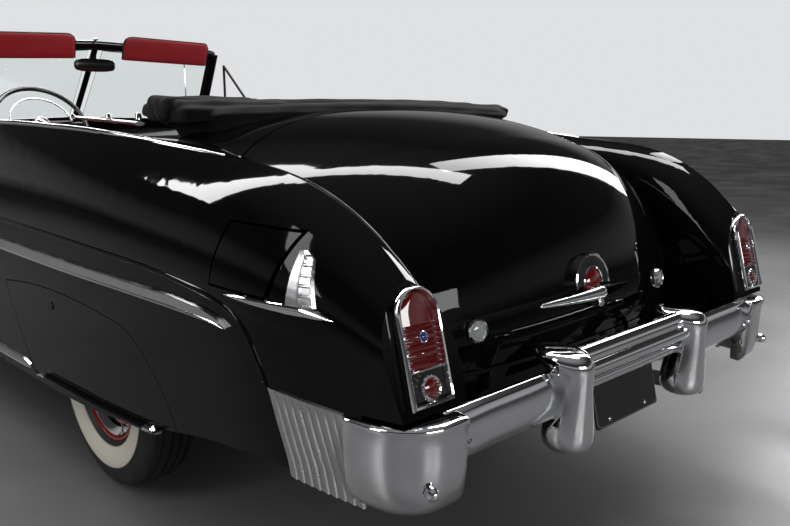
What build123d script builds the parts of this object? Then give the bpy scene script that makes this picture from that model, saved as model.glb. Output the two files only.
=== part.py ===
"""Two-door convertible car of the early 1950s, top folded down.

Millimetres. Z up, floor at z = 0, the front faces -Y and the car's left side is +X.
The origin lies under the middle of the car.
"""
from build123d import *
import os
from collections import namedtuple
from math import cos, radians, sin

os.makedirs("parts", exist_ok=True)

# Driving dimensions
FRONT_AXLE_Y = -1797.0
REAR_AXLE_Y = 1200.0
FRONT_TRACK = 1486.0
REAR_TRACK = 1510.0
TYRE_RADIUS = 352.0
TYRE_WIDTH = 184.0
RIM_RADIUS = 196.0
HUB_BORE_RADIUS = 25.0
PIN_CLEARANCE = 0.08

SKIN = 16.0
PANEL_GAP = 3.0
DOOR_FRONT_Y = -700.0
DOOR_REAR_Y = 480.0
DOOR_INNER_X = 806.0
DOOR_BOTTOM_Z = 372.0
COWL_FRONT_Y = -960.0
HOOD_HALF_WIDTH = 585.0
LID_FRONT_Y = 1708.0
LID_FRONT_SWEEP = 285.0
LID_BOTTOM_Z = 590.0
WELL_REAR_Y = 1560.0
FLOOR_Z = 332.0
FLOOR_SHEET = 12.0
BOOT_FLOOR_Z = 472.0
RAIL_X = 430.0
RAIL_WIDTH = 70.0
KINGPIN_X = 650.0
WHEEL_ARCH_RADIUS = 398.0
LAMP_TOP_Y = 2552.0
LAMP_TOP_Z = 862.0
LAMP_FOOT_Z = 632.0
LAMP_LEAN = 58.0
NOTCH_Y = 2515.0
NOTCH_Z = 612.0

# Sections of one side of the body, front to rear: outer bottom edge, widest point, crown and valley
SideSection = namedtuple("SideSection", "y low_z low_x wide_z wide_x top_x top_z in_x in_z walled", defaults=[False])
SIDE = [
    SideSection(-2600, 590, 775, 735, 800, 715, 840, 600, 760),
    SideSection(-2510, 510, 812, 750, 862, 725, 925, 590, 850),
    SideSection(-2250, 430, 852, 785, 918, 752, 1000, 585, 930),
    SideSection(-1800, 350, 895, 832, 952, 795, 1080, 585, 1032),
    SideSection(-1000, 300, 910, 860, 959, 845, 1158, 590, 1128),
    SideSection(0, 290, 910, 866, 960, 862, 1190, 640, 1190),
    SideSection(900, 290, 908, 862, 960, 850, 1184, 680, 1184),
    SideSection(1560, 330, 900, 848, 956, 822, 1145, 700, 1140),
    SideSection(1950, 400, 890, 812, 946, 800, 1108, 700, 1078),
    SideSection(2280, 420, 866, 768, 926, 787, 1058, 672, 905, True),
    SideSection(2480, 430, 832, 735, 884, 768, 945, 655, 760, True),
    SideSection(2620, 445, 800, 700, 848, 756, 800, 650, 640, True),
]

# Lengthwise profiles of the bonnet and of the rear deck, from the centre line outwards
DeckProfile = namedtuple("DeckProfile", "x start bend_mid bend low_mid low foot_mid foot")
DECK = [
    DeckProfile(0, (1500, 1222), (1810, 1212), (2130, 1142), (2385, 972), (2482, 740), (2490, 660), (2472, 575)),
    DeckProfile(420, (1500, 1203), (1795, 1190), (2105, 1114), (2352, 948), (2450, 725), (2458, 650), (2442, 575)),
    DeckProfile(705, (1500, 1146), (1770, 1124), (2035, 1050), (2235, 900), (2325, 700), (2333, 640), (2320, 575)),
]
BonnetProfile = namedtuple("BonnetProfile", "x start bend_mid bend low_mid low")
BONNET = [
    BonnetProfile(0, (-690, 1178), (-1400, 1142), (-2060, 1050), (-2385, 935), (-2500, 780)),
    BonnetProfile(330, (-690, 1168), (-1400, 1118), (-2050, 1020), (-2360, 905), (-2468, 780)),
    BonnetProfile(600, (-690, 1142), (-1400, 1082), (-2030, 985), (-2300, 885), (-2395, 780)),
]


def box_between(x0, x1, y0, y1, z0, z1, mode=Mode.ADD):
    """Box given by its two corners."""
    with Locations(((x0 + x1) / 2, (y0 + y1) / 2, (z0 + z1) / 2)):
        Box(abs(x1 - x0), abs(y1 - y0), abs(z1 - z0), mode=mode)


def side_sketch(row, inset):
    """One cross-section of the body side; the inset gives the inner face of the sheet."""
    wide_x = row.wide_x - inset
    low_x = row.low_x - inset
    low_z = row.low_z - (80.0 if inset else 0.0)
    top_z = row.top_z - inset
    in_x = row.in_x
    in_z = row.in_z - inset
    if inset and row.walled:
        in_x = row.in_x + 1.6 * inset
        in_z = row.in_z
    plane = Plane(origin=(0, row.y, 0), x_dir=(1, 0, 0), z_dir=(0, -1, 0))
    low_bulge = ((low_x + wide_x) / 2 + 6, (low_z + row.wide_z) / 2)
    shoulder = (
        row.top_x + (wide_x - row.top_x) * 0.80,
        row.wide_z + (top_z - row.wide_z) * 0.66,
    )
    valley = (
        in_x + (row.top_x - in_x) * 0.40,
        in_z + (top_z - in_z) * 0.78,
    )
    with BuildSketch(plane) as sketch:
        with BuildLine():
            ThreePointArc((low_x, low_z), low_bulge, (wide_x, row.wide_z))
            ThreePointArc((wide_x, row.wide_z), shoulder, (row.top_x, top_z))
            if abs(top_z - in_z) < 1.0:
                Line((row.top_x, top_z), (in_x, in_z))
            else:
                ThreePointArc((row.top_x, top_z), valley, (in_x, in_z))
            edge_x = in_x
            if inset:
                edge_x = row.in_x + inset if row.walled else row.in_x - 60.0
                Line((in_x, in_z), (edge_x, in_z - 5))
                Line((edge_x, in_z - 5), (edge_x, low_z))
            else:
                Line((in_x, in_z), (in_x, low_z))
            Line((edge_x, low_z), (low_x, low_z))
        make_face()
    return sketch


def deck_sketch(row, x, inset):
    """Lengthwise profile of the rear deck at one distance from the centre line."""
    plane = Plane(origin=(x, 0, 0), x_dir=(0, 1, 0), z_dir=(1, 0, 0))
    down = 60.0 if inset else 0.0

    def sunk(point, share_y, share_z):
        return (point[0] - inset * share_y, point[1] - inset * share_z)

    start = sunk(row.start, 0, 1)
    bend = sunk(row.bend, 0.3, 0.95)
    low = sunk(row.low, 1, 0.1)
    foot = sunk(row.foot, 1, 0)
    with BuildSketch(plane) as sketch:
        with BuildLine():
            ThreePointArc(start, sunk(row.bend_mid, 0.1, 1), bend)
            ThreePointArc(bend, sunk(row.low_mid, 0.75, 0.7), low)
            ThreePointArc(low, sunk(row.foot_mid, 1, 0), foot)
            Line(foot, (foot[0] - 30, 400 - down))
            Line((foot[0] - 30, 400 - down), (start[0], 400 - down))
            Line((start[0], 400 - down), start)
        make_face()
    return sketch


def bonnet_sketch(row, x, inset):
    """Lengthwise profile of the bonnet and cowl at one distance from the centre line."""
    plane = Plane(origin=(x, 0, 0), x_dir=(0, 1, 0), z_dir=(1, 0, 0))

    def sunk(point, share_y, share_z):
        return (point[0] + inset * share_y, point[1] - inset * share_z)

    start = sunk(row.start, 0, 1)
    bend = sunk(row.bend, 0.15, 1)
    low = sunk(row.low, 1, 0)
    base = 640.0 - (60.0 if inset else 0.0)
    with BuildSketch(plane) as sketch:
        with BuildLine():
            ThreePointArc(start, sunk(row.bend_mid, 0.05, 1), bend)
            ThreePointArc(bend, sunk(row.low_mid, 0.7, 0.75), low)
            Line(low, (low[0], base))
            Line((low[0], base), (start[0], base))
            Line((start[0], base), start)
        make_face()
    return sketch


def across(rows):
    """Pairs of a profile and its x, from the right edge over the centre to the left edge."""
    right = [(row, -row.x) for row in reversed(rows) if row.x > 0]
    return right + [(row, row.x) for row in rows]


def body_form(inset):
    """Solid form of the whole body: two sides, the bonnet and the deck."""
    with BuildPart() as form:
        for row in SIDE:
            add(side_sketch(row, inset).sketch)
        loft()
        with BuildSketch(Plane(origin=(500, 0, 0), x_dir=(0, 1, 0), z_dir=(1, 0, 0))):
            with BuildLine():
                slope = LAMP_LEAN / (LAMP_TOP_Z - LAMP_FOOT_Z)
                top_y = LAMP_TOP_Y - inset
                notch_z = NOTCH_Z + inset
                notch_y = NOTCH_Y - inset
                Polyline((top_y - slope * (1100 - LAMP_TOP_Z), 1100), (top_y + slope * (LAMP_TOP_Z - notch_z), notch_z),
                         (notch_y, notch_z), (notch_y, 300), (2800, 300), (2800, 1100), close=True)
            make_face()
        extrude(amount=600, mode=Mode.SUBTRACT)
        if inset:
            box_between(500, 1100, SIDE[0].y, SIDE[0].y + inset, 300, 1200, mode=Mode.SUBTRACT)
        mirror(about=Plane.YZ)
    with BuildPart() as deck:
        for row, x in across(DECK):
            add(deck_sketch(row, x, inset).sketch)
        loft()
    with BuildPart() as bonnet:
        for row, x in across(BONNET):
            add(bonnet_sketch(row, x, inset).sketch)
        loft()
    with BuildPart() as whole:
        add(form.part)
        add(deck.part)
        add(bonnet.part)
    return whole.part


outer_form = body_form(0.0)
inner_form = body_form(SKIN)

with BuildPart() as front_sheet:
    add(outer_form)
    box_between(-1100, 1100, DOOR_FRONT_Y - 2 * PANEL_GAP, -2700, 100, 1400, mode=Mode.INTERSECT)
    add(inner_form, mode=Mode.SUBTRACT)
with BuildPart() as rear_sheet:
    add(outer_form)
    box_between(-1100, 1100, DOOR_REAR_Y + 2 * PANEL_GAP, 2750, 100, 1400, mode=Mode.INTERSECT)
    add(inner_form, mode=Mode.SUBTRACT)


def finish(piece, label):
    """Name a finished piece and write it."""
    piece.part.label = label
    export_step(piece.part, f"parts/{label}.step")


def plan_prism(points, z0, z1, mode):
    """Upright prism over an outline in plan."""
    with BuildSketch(Plane.XY.offset(z0)) as outline:
        with BuildLine():
            Polyline(*points, close=True)
        make_face()
    extrude(outline.sketch, amount=z1 - z0, mode=mode)


def lid_space(gap):
    """Solid of the lid's space, grown by the gap."""
    half = 706.0 + gap
    with BuildPart() as space:
        with BuildSketch(Plane(origin=(0, 1650, 0), x_dir=(-1, 0, 0), z_dir=(0, 1, 0))):
            with BuildLine():
                Polyline((-half, 1300), (-half, 1120), (-660 - gap, 920))
                ThreePointArc((-660 - gap, 920), (-618 - gap, 760), (-590 - gap, LID_BOTTOM_Z + 60))
                Polyline((-590 - gap, LID_BOTTOM_Z + 60), (-530 - gap, LID_BOTTOM_Z - gap),
                         (530 + gap, LID_BOTTOM_Z - gap), (590 + gap, LID_BOTTOM_Z + 60))
                ThreePointArc((590 + gap, LID_BOTTOM_Z + 60), (618 + gap, 760), (660 + gap, 920))
                Polyline((660 + gap, 920), (half, 1120), (half, 1300), (-half, 1300))
            make_face()
        extrude(amount=1000)
        with BuildSketch(Plane.XY.offset(500)):
            with BuildLine():
                ThreePointArc((-900, LID_FRONT_Y + LID_FRONT_SWEEP - gap), (0, LID_FRONT_Y - gap), (900, LID_FRONT_Y + LID_FRONT_SWEEP - gap))
                Polyline((900, LID_FRONT_Y + LID_FRONT_SWEEP - gap), (900, 1500), (-900, 1500), (-900, LID_FRONT_Y + LID_FRONT_SWEEP - gap))
            make_face()
        extrude(amount=900, mode=Mode.SUBTRACT)
    return space.part


def skirt_space(gap, x0, x1):
    """Space of the rear wheel skirt in side view, grown by the gap."""
    with BuildPart() as space:
        with BuildSketch(Plane(origin=(x0, 0, 0), x_dir=(0, 1, 0), z_dir=(1, 0, 0))):
            with BuildLine():
                Polyline((818 - gap, 325 - 2 * gap), (712 - gap, 600), (712 - gap, 640 + gap))
                ThreePointArc((712 - gap, 640 + gap), (1250, 668 + gap), (1600, 640 + gap))
                ThreePointArc((1600, 640 + gap), (1735 + gap, 540), (1800 + gap, 380))
                Polyline((1800 + gap, 380), (1800 + gap, 325 - 2 * gap), (818 - gap, 325 - 2 * gap))
            make_face()
        extrude(amount=x1 - x0)
    return space.part


def fuel_door_space(gap):
    """Space of the fuel filler door in side view; the rear gap is wider for its swing."""
    with BuildPart() as space:
        with BuildSketch(Plane(origin=(800, 0, 0), x_dir=(0, 1, 0), z_dir=(1, 0, 0))):
            with BuildLine():
                Polyline((2150 - gap, 978 + gap), (2345 + 2 * gap, 968 + gap),
                         (2290 + 2 * gap, 832 - gap), (2102 - gap, 838 - gap), close=True)
            make_face()
        extrude(amount=200)
    return space.part


# Doors: as thick as the whole door, the rear end leaning so that the inner corner swings clear
with BuildPart() as door_left:
    add(outer_form)
    plan_prism(
        [(DOOR_INNER_X, DOOR_FRONT_Y), (1100, DOOR_FRONT_Y), (1100, DOOR_REAR_Y), (965, DOOR_REAR_Y),
         (DOOR_INNER_X, DOOR_REAR_Y - 20)],
        DOOR_BOTTOM_Z, 1300, Mode.INTERSECT)
finish(door_left, "door_left")
with BuildPart() as door_right:
    mirror(door_left.part, about=Plane.YZ)
finish(door_right, "door_right")

# Bonnet between the wings, its rear edge straight across
with BuildPart() as bonnet:
    add(front_sheet.part)
    plan_prism(
        [(-HOOD_HALF_WIDTH, COWL_FRONT_Y - PANEL_GAP), (HOOD_HALF_WIDTH, COWL_FRONT_Y - PANEL_GAP),
         (HOOD_HALF_WIDTH - 25, -2700), (-HOOD_HALF_WIDTH + 25, -2700)],
        800, 1300, Mode.INTERSECT)
finish(bonnet, "bonnet")

# Cowl between bonnet and windscreen, with the firewall
COWL_HALF_WIDTH = 760.0
FIREWALL_Y = -790.0
with BuildPart() as firewall:
    with BuildSketch(Plane(origin=(0, FIREWALL_Y, 0), x_dir=(1, 0, 0), z_dir=(0, -1, 0))):
        with BuildLine():
            Polyline((-580, FLOOR_Z + FLOOR_SHEET), (-580, 1220), (580, 1220), (580, FLOOR_Z + FLOOR_SHEET),
                     (150, FLOOR_Z + FLOOR_SHEET), (150, 476), (-150, 476), (-150, FLOOR_Z + FLOOR_SHEET),
                     close=True)
        make_face()
    extrude(amount=14)
    box_between(-600, 600, -900, -700, 500, 1400, mode=Mode.INTERSECT)
    add(outer_form, mode=Mode.INTERSECT)
with BuildPart() as firewall_foot:
    for side in (-1, 1):
        box_between(side * 150, side * 580, FIREWALL_Y - 14, FIREWALL_Y, FLOOR_Z + FLOOR_SHEET, 720)
with BuildPart() as cowl:
    add(front_sheet.part)
    plan_prism(
        [(-COWL_HALF_WIDTH, COWL_FRONT_Y + PANEL_GAP), (COWL_HALF_WIDTH, COWL_FRONT_Y + PANEL_GAP),
         (COWL_HALF_WIDTH, DOOR_FRONT_Y - 2 * PANEL_GAP), (-COWL_HALF_WIDTH, DOOR_FRONT_Y - 2 * PANEL_GAP)],
        1060, 1300, Mode.INTERSECT)
    add(firewall.part)
    add(firewall_foot.part)
finish(cowl, "cowl")

# Front wings with the round wheel opening
with BuildPart() as wing_left:
    add(front_sheet.part)
    plan_prism(
        [(HOOD_HALF_WIDTH + 2 * PANEL_GAP, COWL_FRONT_Y),
         (COWL_HALF_WIDTH, COWL_FRONT_Y), (COWL_HALF_WIDTH, -600), (1100, -600),
         (1100, -2700), (HOOD_HALF_WIDTH - 25 + 2 * PANEL_GAP, -2700)],
        200, 1300, Mode.INTERSECT)
    with BuildSketch(Plane(origin=(500, 0, 0), x_dir=(0, 1, 0), z_dir=(1, 0, 0))):
        with Locations((FRONT_AXLE_Y, TYRE_RADIUS)):
            Circle(WHEEL_ARCH_RADIUS)
        with Locations((FRONT_AXLE_Y, TYRE_RADIUS - 150)):
            Rectangle(2 * WHEEL_ARCH_RADIUS, 300)
    extrude(amount=600, mode=Mode.SUBTRACT)
finish(wing_left, "front_wing_left")
with BuildPart() as wing_right:
    mirror(wing_left.part, about=Plane.YZ)
finish(wing_right, "front_wing_right")

# Boot lid
lid_outer_space = lid_space(PANEL_GAP)
with BuildPart() as boot_lid:
    add(rear_sheet.part)
    add(lid_space(-PANEL_GAP), mode=Mode.INTERSECT)
finish(boot_lid, "boot_lid")

# Deck ahead of the lid and the tail panel below it
SEAM_X = 698.0
TAIL_SEAM_X = 560.0
SEAM_REAR_Y = 1900.0
with BuildPart() as deck_surround:
    add(rear_sheet.part)
    plan_prism([(-SEAM_X, WELL_REAR_Y), (SEAM_X, WELL_REAR_Y), (SEAM_X, SEAM_REAR_Y), (TAIL_SEAM_X, SEAM_REAR_Y),
                (TAIL_SEAM_X, 2560), (-TAIL_SEAM_X, 2560), (-TAIL_SEAM_X, SEAM_REAR_Y), (-SEAM_X, SEAM_REAR_Y)],
               405, 1300, Mode.INTERSECT)
    add(lid_outer_space, mode=Mode.SUBTRACT)
    for side in (-1, 1):
        box_between(side * RAIL_X - 34, side * RAIL_X + 34, 2300, 2600, 380, 560, mode=Mode.SUBTRACT)
finish(deck_surround, "deck_surround")

# Rear quarters, open for the wheel skirt and on the left for the filler door
with BuildPart() as quarter_plain:
    add(rear_sheet.part)
    plan_prism(
        [(SEAM_X, WELL_REAR_Y), (DOOR_INNER_X, WELL_REAR_Y - 60), (DOOR_INNER_X, 470),
         (1100, 470), (1100, 2700), (TAIL_SEAM_X, 2700), (TAIL_SEAM_X, SEAM_REAR_Y), (SEAM_X, SEAM_REAR_Y)],
        200, 1300, Mode.INTERSECT)
    add(lid_outer_space, mode=Mode.SUBTRACT)
    add(skirt_space(PANEL_GAP, 700, 1000), mode=Mode.SUBTRACT)
with BuildPart() as quarter_right:
    mirror(quarter_plain.part, about=Plane.YZ)
finish(quarter_right, "quarter_right")
with BuildPart() as quarter_left:
    add(quarter_plain.part)
    add(fuel_door_space(2 * PANEL_GAP), mode=Mode.SUBTRACT)
finish(quarter_left, "quarter_left")

with BuildPart() as fuel_door:
    add(rear_sheet.part)
    add(fuel_door_space(0), mode=Mode.INTERSECT)
finish(fuel_door, "fuel_door")

# Skirts over the rear wheels
with BuildPart() as skirts:
    add(rear_sheet.part)
    add(skirt_space(0, 700, 1000), mode=Mode.INTERSECT)
    mirror(about=Plane.YZ)
finish(skirts, "wheel_skirts")


def rod(start, end, radius, mode=Mode.ADD):
    """Round bar between two points, with rounded ends."""
    start = Vector(*start)
    end = Vector(*end)
    with BuildSketch(Plane(origin=start, z_dir=end - start)) as section:
        Circle(radius)
    extrude(section.sketch, amount=(end - start).length, mode=mode)
    with Locations(start, end):
        Sphere(radius, mode=mode)


def across_profile(points, x0, x1, mode=Mode.ADD):
    """Profile in side view, extruded across the car."""
    with BuildSketch(Plane(origin=(x0, 0, 0), x_dir=(0, 1, 0), z_dir=(1, 0, 0))) as outline:
        with BuildLine():
            Polyline(*points, close=True)
        make_face()
    extrude(outline.sketch, amount=x1 - x0, mode=mode)


# Floor, sills, wheelhouses, bulkhead and the well for the folded top
TUNNEL_HALF = 112.0
TUNNEL_TOP = 462.0
KICK_Y = 780.0
PAN_Z = 532.0
BULKHEAD_Y = 1500.0
WHEELHOUSE_RADIUS = 392.0
WELL_FLOOR_Z = 1088.0
with BuildPart() as boot_floor:
    box_between(-640, 640, BULKHEAD_Y, 2470, BOOT_FLOOR_Z, BOOT_FLOOR_Z + FLOOR_SHEET)
    add(inner_form, mode=Mode.INTERSECT)
with BuildPart() as underbody:
    with BuildSketch(Plane(origin=(0, -795, 0), x_dir=(1, 0, 0), z_dir=(0, -1, 0))):
        with BuildLine():
            Polyline((0, TUNNEL_TOP), (TUNNEL_HALF, TUNNEL_TOP), (TUNNEL_HALF, FLOOR_Z), (800, FLOOR_Z),
                     (800, FLOOR_Z + FLOOR_SHEET), (TUNNEL_HALF + FLOOR_SHEET, FLOOR_Z + FLOOR_SHEET),
                     (TUNNEL_HALF + FLOOR_SHEET, TUNNEL_TOP + FLOOR_SHEET), (0, TUNNEL_TOP + FLOOR_SHEET), close=True)
        make_face()
    extrude(amount=-(KICK_Y + 795 + FLOOR_SHEET))
    across_profile(
        [(KICK_Y, TUNNEL_TOP), (KICK_Y, PAN_Z + FLOOR_SHEET), (BULKHEAD_Y + FLOOR_SHEET, PAN_Z + FLOOR_SHEET),
         (BULKHEAD_Y + FLOOR_SHEET, BOOT_FLOOR_Z), (BULKHEAD_Y, BOOT_FLOOR_Z), (BULKHEAD_Y, PAN_Z),
         (KICK_Y + FLOOR_SHEET, PAN_Z), (KICK_Y + FLOOR_SHEET, TUNNEL_TOP)],
        0, 640)
    box_between(TUNNEL_HALF, 800, KICK_Y, KICK_Y + FLOOR_SHEET, FLOOR_Z, PAN_Z)
    box_between(788, 800, 500, 1250, FLOOR_Z, 1130)
    with BuildSketch(Plane(origin=(628, 0, 0), x_dir=(0, 1, 0), z_dir=(1, 0, 0))):
        with Locations((REAR_AXLE_Y, TYRE_RADIUS)):
            Circle(WHEELHOUSE_RADIUS + FLOOR_SHEET)
    extrude(amount=232)
    with BuildSketch(Plane(origin=(640, 0, 0), x_dir=(0, 1, 0), z_dir=(1, 0, 0))):
        with Locations((REAR_AXLE_Y, TYRE_RADIUS)):
            Circle(WHEELHOUSE_RADIUS)
    extrude(amount=240, mode=Mode.SUBTRACT)
    box_between(600, 880, KICK_Y + FLOOR_SHEET, 1700, -100, TYRE_RADIUS + 90, mode=Mode.SUBTRACT)
    box_between(0, 640, BULKHEAD_Y, BULKHEAD_Y + FLOOR_SHEET, PAN_Z, WELL_FLOOR_Z + FLOOR_SHEET)
    box_between(0, 640, 1290, BULKHEAD_Y + FLOOR_SHEET, WELL_FLOOR_Z, WELL_FLOOR_Z + FLOOR_SHEET)
    mirror(about=Plane.YZ)
with BuildPart() as sills:
    add(outer_form)
    box_between(799, 1000, DOOR_FRONT_Y, DOOR_REAR_Y, 285, DOOR_BOTTOM_Z - 2 * PANEL_GAP, mode=Mode.INTERSECT)
    mirror(about=Plane.YZ)
with BuildPart() as tub:
    add(underbody.part)
    add(boot_floor.part)
    add(sills.part)
finish(tub, "underbody")

# Ladder frame with kicked-up rear rails and an X in the middle
RAIL_HEIGHT = 98.0
LIFT_PAD = 60.0
LIFT_PAD_DEPTH = 6.0
LIFT_PAD_Y = (-1200.0, 550.0)
with BuildPart() as chassis:
    low = FLOOR_Z - RAIL_HEIGHT
    for side in (-1, 1):
        across_profile(
            [(-2380, low + 90), (-2000, low), (820, low), (960, 416), (1370, 416), (1470, 372), (2380, 372),
             (2380, 470), (1480, 470), (1380, 514), (960, 514), (800, FLOOR_Z), (-2000, FLOOR_Z),
             (-2380, low + 90 + RAIL_HEIGHT)],
            side * RAIL_X - RAIL_WIDTH / 2, side * RAIL_X + RAIL_WIDTH / 2)
        with BuildSketch(Plane(origin=(0, 0, FLOOR_Z - 56))):
            with BuildLine():
                Polyline((side * 400, -900), (side * 400, -800), (side * 60, 0), (side * 400, 780), (side * 400, 860),
                         (side * 330, 860), (0, 70), (0, -70), (side * 330, -900), close=True)
            make_face()
        extrude(amount=50)
    for y, z in ((-2300, 300), (1550, 430), (2300, 410)):
        box_between(-RAIL_X, RAIL_X, y - 30, y + 30, z - 28, z + 28)
    for side in (-1, 1):
        for y in LIFT_PAD_Y:
            box_between(side * RAIL_X - LIFT_PAD / 2, side * RAIL_X + LIFT_PAD / 2,
                        y - LIFT_PAD / 2, y + LIFT_PAD / 2, low - LIFT_PAD_DEPTH, low)
finish(chassis, "chassis_frame")

# Engine with gearbox as one plain block, and the radiator ahead of it
with BuildPart() as engine:
    box_between(-255, 255, -2020, -1290, 345, 905)
    box_between(-100, 100, -1290, -620, 335, 452)
finish(engine, "engine")
with BuildPart() as radiator:
    box_between(-330, 330, -2262, -2200, 400, 850)
    box_between(-345, 345, -2272, -2190, 850, 885)
    box_between(-345, 345, -2290, -2200, 329, 400)
finish(radiator, "radiator")

# Front crossmember, arms and coil springs
HUB_Z = TYRE_RADIUS
ARM_LEVELS = ((206, 232, 480), (468, 488, 500))
with BuildPart() as front_suspension:
    box_between(-500, 500, FRONT_AXLE_Y - 60, FRONT_AXLE_Y + 60, 204, 232)
    for side in (-1, 1):
        for z0, z1, x0 in ARM_LEVELS:
            with BuildSketch(Plane.XY.offset(z0)):
                with BuildLine():
                    Polyline((side * x0, FRONT_AXLE_Y - 110), (side * KINGPIN_X, FRONT_AXLE_Y - 24),
                             (side * (KINGPIN_X + 22), FRONT_AXLE_Y), (side * KINGPIN_X, FRONT_AXLE_Y + 24),
                             (side * x0, FRONT_AXLE_Y + 110), close=True)
                make_face()
            extrude(amount=z1 - z0)
            with Locations((side * KINGPIN_X, FRONT_AXLE_Y, (z0 + z1) / 2)):
                Cylinder(12 + PIN_CLEARANCE, z1 - z0 + 20, mode=Mode.SUBTRACT)
        box_between(side * 467, side * 505, FRONT_AXLE_Y - 70, FRONT_AXLE_Y + 70, 204, 500)
        with Locations((side * 540, FRONT_AXLE_Y, 345)):
            Cylinder(52, 246)
finish(front_suspension, "front_suspension")


def knuckle(side):
    with BuildPart() as part:
        x = side * KINGPIN_X
        with Locations((x, FRONT_AXLE_Y, HUB_Z + 13)):
            Cylinder(24, 190)
        with Locations((x, FRONT_AXLE_Y, 347)):
            Cylinder(12, 278)
        with BuildSketch(Plane(origin=(x, FRONT_AXLE_Y, HUB_Z), x_dir=(0, 1, 0), z_dir=(side, 0, 0))):
            Circle(34)
        extrude(amount=42)
        with BuildSketch(Plane(origin=(side * (KINGPIN_X + 34), FRONT_AXLE_Y, HUB_Z), x_dir=(0, 1, 0),
                               z_dir=(side, 0, 0))):
            Circle(135)
        extrude(amount=12)
        with BuildSketch(Plane(origin=(x, FRONT_AXLE_Y, HUB_Z), x_dir=(0, 1, 0), z_dir=(side, 0, 0))):
            Circle(HUB_BORE_RADIUS)
        extrude(amount=FRONT_TRACK / 2 - KINGPIN_X + 40)
    return part


for side, name in ((1, "left"), (-1, "right")):
    finish(knuckle(side), f"knuckle_{name}")

# Rear axle with its leaf springs
SPRING_X = 560.0
with BuildPart() as rear_axle:
    with BuildSketch(Plane(origin=(0, REAR_AXLE_Y, HUB_Z), x_dir=(1, 0, 0), z_dir=(0, -1, 0))):
        with BuildLine():
            stub_x = REAR_TRACK / 2 + 40
            Polyline((0, 0), (stub_x, 0), (stub_x, HUB_BORE_RADIUS), (730, HUB_BORE_RADIUS), (730, 142), (684, 142),
                     (684, 38), (122, 38))
            ThreePointArc((122, 38), (90, 91), (0, 128))
            ThreePointArc((0, 128), (-90, 91), (-122, 38))
            Polyline((-122, 38), (-684, 38), (-684, 142), (-730, 142), (-730, HUB_BORE_RADIUS),
                     (-stub_x, HUB_BORE_RADIUS), (-stub_x, 0), (0, 0))
        make_face()
    revolve(axis=Axis((0, REAR_AXLE_Y, HUB_Z), (1, 0, 0)))
    for side in (-1, 1):
        across_profile(
            [(640, 300), (920, 278), (1480, 284), (1760, 352), (1760, 366), (1480, 322), (920, 318), (640, 314)],
            side * SPRING_X - 28, side * SPRING_X + 28)
        box_between(side * (RAIL_X + RAIL_WIDTH / 2), side * (SPRING_X - 20), 642, 672, 296, 316)
        box_between(side * (RAIL_X + RAIL_WIDTH / 2), side * (SPRING_X + 28), 1724, 1758, 348, 400)
finish(rear_axle, "rear_axle")

# Propeller shaft
with BuildPart() as driveshaft:
    rod((0, -585, 372), (0, REAR_AXLE_Y - 163, 352), 34)
finish(driveshaft, "driveshaft")

# Exhaust: one pipe with its silencer, the tail pipe outboard on the right
EXHAUST_ROUTE = [(-300, -1290, 236), (-300, 880, 236), (-300, 1085, 452), (-300, 1330, 452), (-300, 1475, 340),
                 (-500, 1780, 312), (-500, 2585, 352)]
with BuildPart() as exhaust:
    with BuildLine() as route:
        FilletPolyline(*EXHAUST_ROUTE, radius=60)
    with BuildSketch(Plane(origin=EXHAUST_ROUTE[0], z_dir=(0, 1, 0))):
        Circle(24)
    sweep()
    with Locations(Location((-300, 0, 236), (90, 0, 0))):
        Cylinder(58, 560)
finish(exhaust, "exhaust")

with BuildPart() as fuel_tank:
    box_between(-330, 330, 1650, 2200, 290, 470)
    fillet(fuel_tank.edges().filter_by(Axis.X), 40)
finish(fuel_tank, "fuel_tank")


def tyre(x, y):
    """Tyre turned about its own axle."""
    half = TYRE_WIDTH / 2
    with BuildPart() as part:
        with BuildSketch(Plane(origin=(x, y, HUB_Z), x_dir=(1, 0, 0), z_dir=(0, -1, 0))):
            with BuildLine():
                Line((-half + 26, RIM_RADIUS), (half - 26, RIM_RADIUS))
                ThreePointArc((half - 26, RIM_RADIUS), (half, 268), (half - 22, TYRE_RADIUS - 14))
                ThreePointArc((half - 22, TYRE_RADIUS - 14), (0, TYRE_RADIUS), (-half + 22, TYRE_RADIUS - 14))
                ThreePointArc((-half + 22, TYRE_RADIUS - 14), (-half, 268), (-half + 26, RIM_RADIUS))
            make_face()
        revolve(axis=Axis((x, y, HUB_Z), (1, 0, 0)))
    return part


def road_wheel(x, y, side):
    """Pressed steel wheel with its domed cap, the outer side facing side."""
    plane = Plane(origin=(x, y, HUB_Z), x_dir=(side, 0, 0), z_dir=(0, side, 0))
    with BuildPart() as part:
        with BuildSketch(plane) as section:
            with BuildLine():
                Polyline((-78, RIM_RADIUS - 0.3), (-78, RIM_RADIUS - 8), (-40, 172), (10, 172), (16, 120), (30, 100),
                         (10, 60), (10, HUB_BORE_RADIUS + PIN_CLEARANCE), (44, HUB_BORE_RADIUS + PIN_CLEARANCE),
                         (44, 0))
                Line((44, 0), (86, 0))
                ThreePointArc((86, 0), (76, 60), (46, 118))
                Polyline((46, 118), (40, 132), (34, 150), (52, 180), (66, RIM_RADIUS - 8), (66, RIM_RADIUS - 0.3),
                         (-78, RIM_RADIUS - 0.3))
            make_face()
        revolve(axis=Axis((x, y, HUB_Z), (1, 0, 0)))
    return part


for name, x, y, side in (
    ("front_left", FRONT_TRACK / 2, FRONT_AXLE_Y, 1),
    ("front_right", -FRONT_TRACK / 2, FRONT_AXLE_Y, -1),
    ("rear_left", REAR_TRACK / 2, REAR_AXLE_Y, 1),
    ("rear_right", -REAR_TRACK / 2, REAR_AXLE_Y, -1),
):
    finish(tyre(x, y), f"tyre_{name}")
    finish(road_wheel(x, y, side), f"wheel_{name}")

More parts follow.
